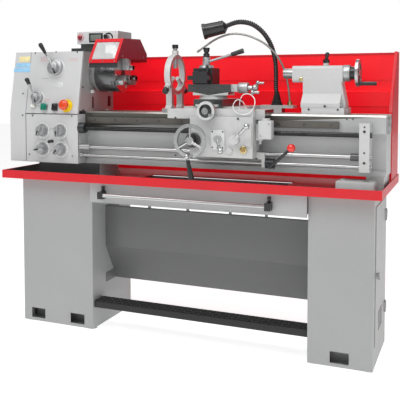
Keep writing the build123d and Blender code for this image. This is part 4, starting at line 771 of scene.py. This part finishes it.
# ------------------------------------------------------------------ apron trim
bm = bmesh.new()
add_box(bm, P(182, -219.6, 862), P(240, -217.8, 942), 0.0006, 0)
finish_mesh("apron_plate", bm, ["plate"], "carriage")
screws("apron_screws", "carriage", [(P(x, -219.6, z), -Y, 3.4) for x, z in ((188, 935), (234, 935), (188, 869), (234, 869), (211, 868))] +
       [(P(x, -218, z), -Y, 4.4) for x, z in ((20, 830), (20, 990), (380, 830), (150, 990), (300, 990))], "dark")
turned("cross_dial", P(169, -232.0, 1021), -Y, [(40, 0, 0), (40.4, 1, 0), (40.4, 15, 0), (38.6, 17.5, 0), (24, 18.2, 1), (16, 22, 1), (0, 24, 1)], ["satin", "black"], "cross_feed_wheel", 64)
bm = bmesh.new()
for k in range(50):
    a = TAU * k / 50
    u = Vector((math.sin(a), 0, math.cos(a)))
    v = Vector((math.cos(a), 0, -math.sin(a)))
    add_frame_box(bm, P(169, -241, 1021) + u * 0.0404, v, Y, u, 0.0006, 0.009 if k % 5 == 0 else 0.005, 0.0003, 0, 0)
finish_mesh("cross_dial_marks", bm, ["black"], "cross_feed_wheel")

# ------------------------------------------------------------------ tailstock trim
turned("tailstock_oiler", P(516, -35.6, 1152), -Y, [(8, 0), (8, 2), (6, 3), (5, 5.5), (0, 6.5)], ["brass"], "tailstock", 24)
screws("tailstock_screws", "tailstock", [(P(627, -79, 1041), -Y, 5), (P(560, -79, 1028), -Y, 4.2), (P(680, -79, 1028), -Y, 4.2)], "dark")
bm = bmesh.new()
for k in range(50):
    a = TAU * k / 50
    u = Vector((0, math.sin(a), math.cos(a)))
    v = Vector((0, math.cos(a), -math.sin(a)))
    add_frame_box(bm, P(711, 0, 1177) + u * 0.0341, v, X, u, 0.0006, 0.007 if k % 5 == 0 else 0.004, 0.0003, 0, 0)
finish_mesh("tailstock_dial_marks", bm, ["black"], "tailstock_wheel")

# ------------------------------------------------------------------ sheet-metal trim
bm = bmesh.new()
add_box(bm, P(-505, 289.0, 1030.5), P(860, 291.2, 1033.5), 0, 0)
add_box(bm, P(-505, 302.6, 1149.5), P(860, 305.1, 1152), 0, 0)
finish_mesh("backsplash_folds", bm, ["redlip"], "frame")
bm = bmesh.new()
for x in (-346, 427):
    add_box(bm, P(x, -219, 654), P(x + 12, -205.8, 676), 0.0015, 0)
finish_mesh("drawer_pull_clips", bm, ["black"], "chip_drawer")
screws("drawer_screws", "chip_drawer", [(P(x, -219, 666), -Y, 3) for x in (-340, 433)], "gun")
bm = bmesh.new()
row = 0
sx = 22
x = -404.0
while x < 580:
    for j in range(3):
        sgn = 1 if (row + j) % 2 else -1
        a = math.radians(45 * sgn)
        u = Vector((math.cos(a), math.sin(a), 0))
        v = Vector((-math.sin(a), math.cos(a), 0))
        add_frame_box(bm, P(x, -160 + 25 * j, 136.3), u, v, Z, 0.021, 0.005, 0.0018, 0.0006, 0)
    x += sx
    row += 1
finish_mesh("treadle_pattern", bm, ["dark"], "brake_treadle")
bm = bmesh.new()
for k in range(9):
    add_box(bm, P(-794.9, -70 + 0, 520 + 14 * k), P(-793.6, 60, 524 + 14 * k), 0.0004, 0)
for k in range(7):
    add_box(bm, P(845.4, -70, 520 + 14 * k), P(849.4 if False else 846.4, 60, 524 + 14 * k), 0.0004, 0)
finish_mesh("cabinet_vents", bm, ["black"], "frame")

# sight glass, thread dial housing, leadscrew boss, foot block, wheel dish, jaw tops
turned("oil_sight", P(324, -217.6, 863), -Y, [(15, 0, 0), (15, 4, 0), (12.5, 6, 0), (10, 6.2, 0), (9.6, 4.4, 1), (0, 4.8, 1)], ["brass", "eye"], "carriage", 40)
bm = bmesh.new()
add_box(bm, P(384, -212, 908), P(440, -170, 984), 0.005, 0)
add_turn(bm, P(412, -192, 983), Z, [(0.017, 0, 0), (0.017, 0.008, 0), (0.015, 0.0095, 0), (0, 0.0096, 0)], 40)
add_screw(bm, P(394, -212, 922), -Y, 0.0042)
add_screw(bm, P(430, -212, 970), -Y, 0.0042)
finish_mesh("thread_dial_housing", bm, ["castlight", "black"], "carriage")
turned("leadscrew_boss", P(-500.2, -145, 931), X, [(25, 0), (25, 28), (23, 31), (17.6, 31.2)], ["oxide"], "frame", 48)
bm = bmesh.new()
add_box(bm, P(690, -168, 696), P(842, -60, 748), 0.006, 0)
for x in (712, 820):
    add_screw(bm, P(x, -120, 748), Z, 0.009)
finish_mesh("bed_foot_block", bm, ["castlight", "black"], "frame")
turned("tailstock_wheel_dish", P(743.5, 0, 1177), X, [(43, 0), (43, 2.5), (20, 4.5), (19, 4.6)], ["gun"], "tailstock_wheel", 56)
for i, a in ((1, 90), (2, 210), (3, 330)):
    c, s = math.cos(math.radians(a)), math.sin(math.radians(a))
    rv, tv = Vector((0, c, s)), Vector((0, -s, c))
    bm = bmesh.new()
    add_frame_box(bm, P(-333, 49.5 * c, 1177 + 49.5 * s), X, rv, tv, 0.036, 0.055, 0.0235, 0.002, 0)
    add_frame_box(bm, P(-305, 33 * c, 1177 + 33 * s), X, rv, tv, 0.018, 0.022, 0.0232, 0.0016, 1)
    for r_ in (62, 44):
        add_screw(bm, P(-315, r_ * c, 1177 + r_ * s), X, 0.0055, 1, 2)
    finish_mesh("jaw_top_%d" % i, bm, ["satin", "bright", "black"], "chuck_jaw_%d" % i)
bm = bmesh.new()
add_box(bm, P(-791, -178, 8), P(-417, 190, 11), 0, 0)
add_box(bm, P(590, -178, 8), P(843, 118, 11), 0, 0)
add_box(bm, P(-770, -118, 11), P(-440, -114, 90), 0, 0)
add_box(bm, P(660, -128, 11), P(772, -124, 90), 0, 0)
finish_mesh("cabinet_liners", bm, ["cabinet"], "frame")

# ------------------------------------------------------------------ floor, lights, camera
bm = bmesh.new()
g = 14.0
vs = [bm.verts.new(Vector((x, y, 0.0))) for x, y in ((-g, -g), (g, -g), (g, g), (-g, g))]
bm.faces.new(vs)
me = bpy.data.meshes.new("floor")
bm.to_mesh(me)
bm.free()
fl, nt, p = _nodes("studio_floor")
nt.links.new(_ramp(nt, _noise(nt, 2.0, 3), [(0.3, (0.86, 0.86, 0.86)), (0.7, (0.88, 0.88, 0.88))]), p.inputs["Base Color"])
p.inputs["Emission Color"].default_value = (1, 1, 1, 1)
p.inputs["Emission Strength"].default_value = 0.7
p.inputs["Roughness"].default_value = 0.85
me.materials.append(fl)
floor = bpy.data.objects.new("floor", me)
bpy.context.scene.collection.objects.link(floor)

w = bpy.data.worlds.new("studio")
bpy.context.scene.world = w
w.use_nodes = True
nt = w.node_tree
nt.nodes.clear()
out = nt.nodes.new("ShaderNodeOutputWorld")
tc = nt.nodes.new("ShaderNodeTexCoord")
sep = nt.nodes.new("ShaderNodeSeparateXYZ")
nt.links.new(tc.outputs["Generated"], sep.inputs["Vector"])
rp = nt.nodes.new("ShaderNodeValToRGB")
cr = rp.color_ramp
cr.elements[0].position, cr.elements[0].color = 0.0, (0.30, 0.30, 0.30, 1)
cr.elements[1].position, cr.elements[1].color = 1.0, (1.0, 1.0, 1.0, 1)
for pos, val in ((0.46, 0.34), (0.5, 0.52), (0.56, 0.72), (0.66, 0.62), (0.8, 0.95)):
    e = cr.elements.new(pos)
    e.color = (val, val, val * 1.005, 1)
mr = nt.nodes.new("ShaderNodeMapRange")
mr.inputs["From Min"].default_value, mr.inputs["From Max"].default_value = -1, 1
nt.links.new(sep.outputs["Z"], mr.inputs["Value"])
nt.links.new(mr.outputs["Result"], rp.inputs["Fac"])
bg = nt.nodes.new("ShaderNodeBackground")
bg.inputs["Strength"].default_value = 0.30
nt.links.new(rp.outputs["Color"], bg.inputs["Color"])
bgw = nt.nodes.new("ShaderNodeBackground")
bgw.inputs["Color"].default_value = (1, 1, 1, 1)
bgw.inputs["Strength"].default_value = 1.0
lp = nt.nodes.new("ShaderNodeLightPath")
mx = nt.nodes.new("ShaderNodeMixShader")
nt.links.new(lp.outputs["Is Camera Ray"], mx.inputs["Fac"])
nt.links.new(bg.outputs["Background"], mx.inputs[1])
nt.links.new(bgw.outputs["Background"], mx.inputs[2])
nt.links.new(mx.outputs["Shader"], out.inputs["Surface"])


def area(name, loc, target, size, power, col=(1, 1, 1)):
    l = bpy.data.lights.new(name, "AREA")
    l.shape = "RECTANGLE"
    l.size, l.size_y = size
    l.energy = power
    l.color = col
    o = bpy.data.objects.new(name, l)
    o.location = loc
    o.rotation_euler = (Vector(target) - Vector(loc)).to_track_quat("-Z", "Y").to_euler()
    bpy.context.scene.collection.objects.link(o)
    return o


area("key", (-1.7, -3.0, 3.9), (0.0, 0.0, 0.8), (2.2, 1.6), 50)
area("fill", (3.6, -2.4, 2.2), (0.3, 0.0, 0.8), (1.6, 2.2), 16)
area("front", (0.9, -4.4, 1.4), (0.0, 0.0, 0.8), (2.4, 1.2), 11)
area("top", (0.0, -0.2, 3.6), (0.0, 0.0, 0.8), (2.6, 1.2), 20)
area("splash", (0.3, -1.5, 3.2), (0.25, 0.3, 1.15), (1.8, 0.8), 26)
area("back", (0.2, 3.2, 2.6), (0.0, 0.0, 0.9), (3.0, 1.2), 20)

PITCH = 3.0
cam_data = bpy.data.cameras.new("camera")
cam_data.sensor_width = 36.0
cam_data.lens = 61.2
cam_data.shift_y = -(113.0 - 680.0 * math.tan(math.radians(PITCH))) / 400.0
cam_data.clip_start, cam_data.clip_end = 0.05, 60
cam_data.dof.use_dof = False
cam = bpy.data.objects.new("camera", cam_data)
cam.location = P(1215, -2845, 1120)
cam.rotation_euler = (math.radians(90 - PITCH), 0, math.radians(22.4))
bpy.context.scene.collection.objects.link(cam)
bpy.context.scene.camera = cam
bpy.context.scene.view_settings.view_transform = "Standard"
bpy.context.scene.view_settings.look = "None"
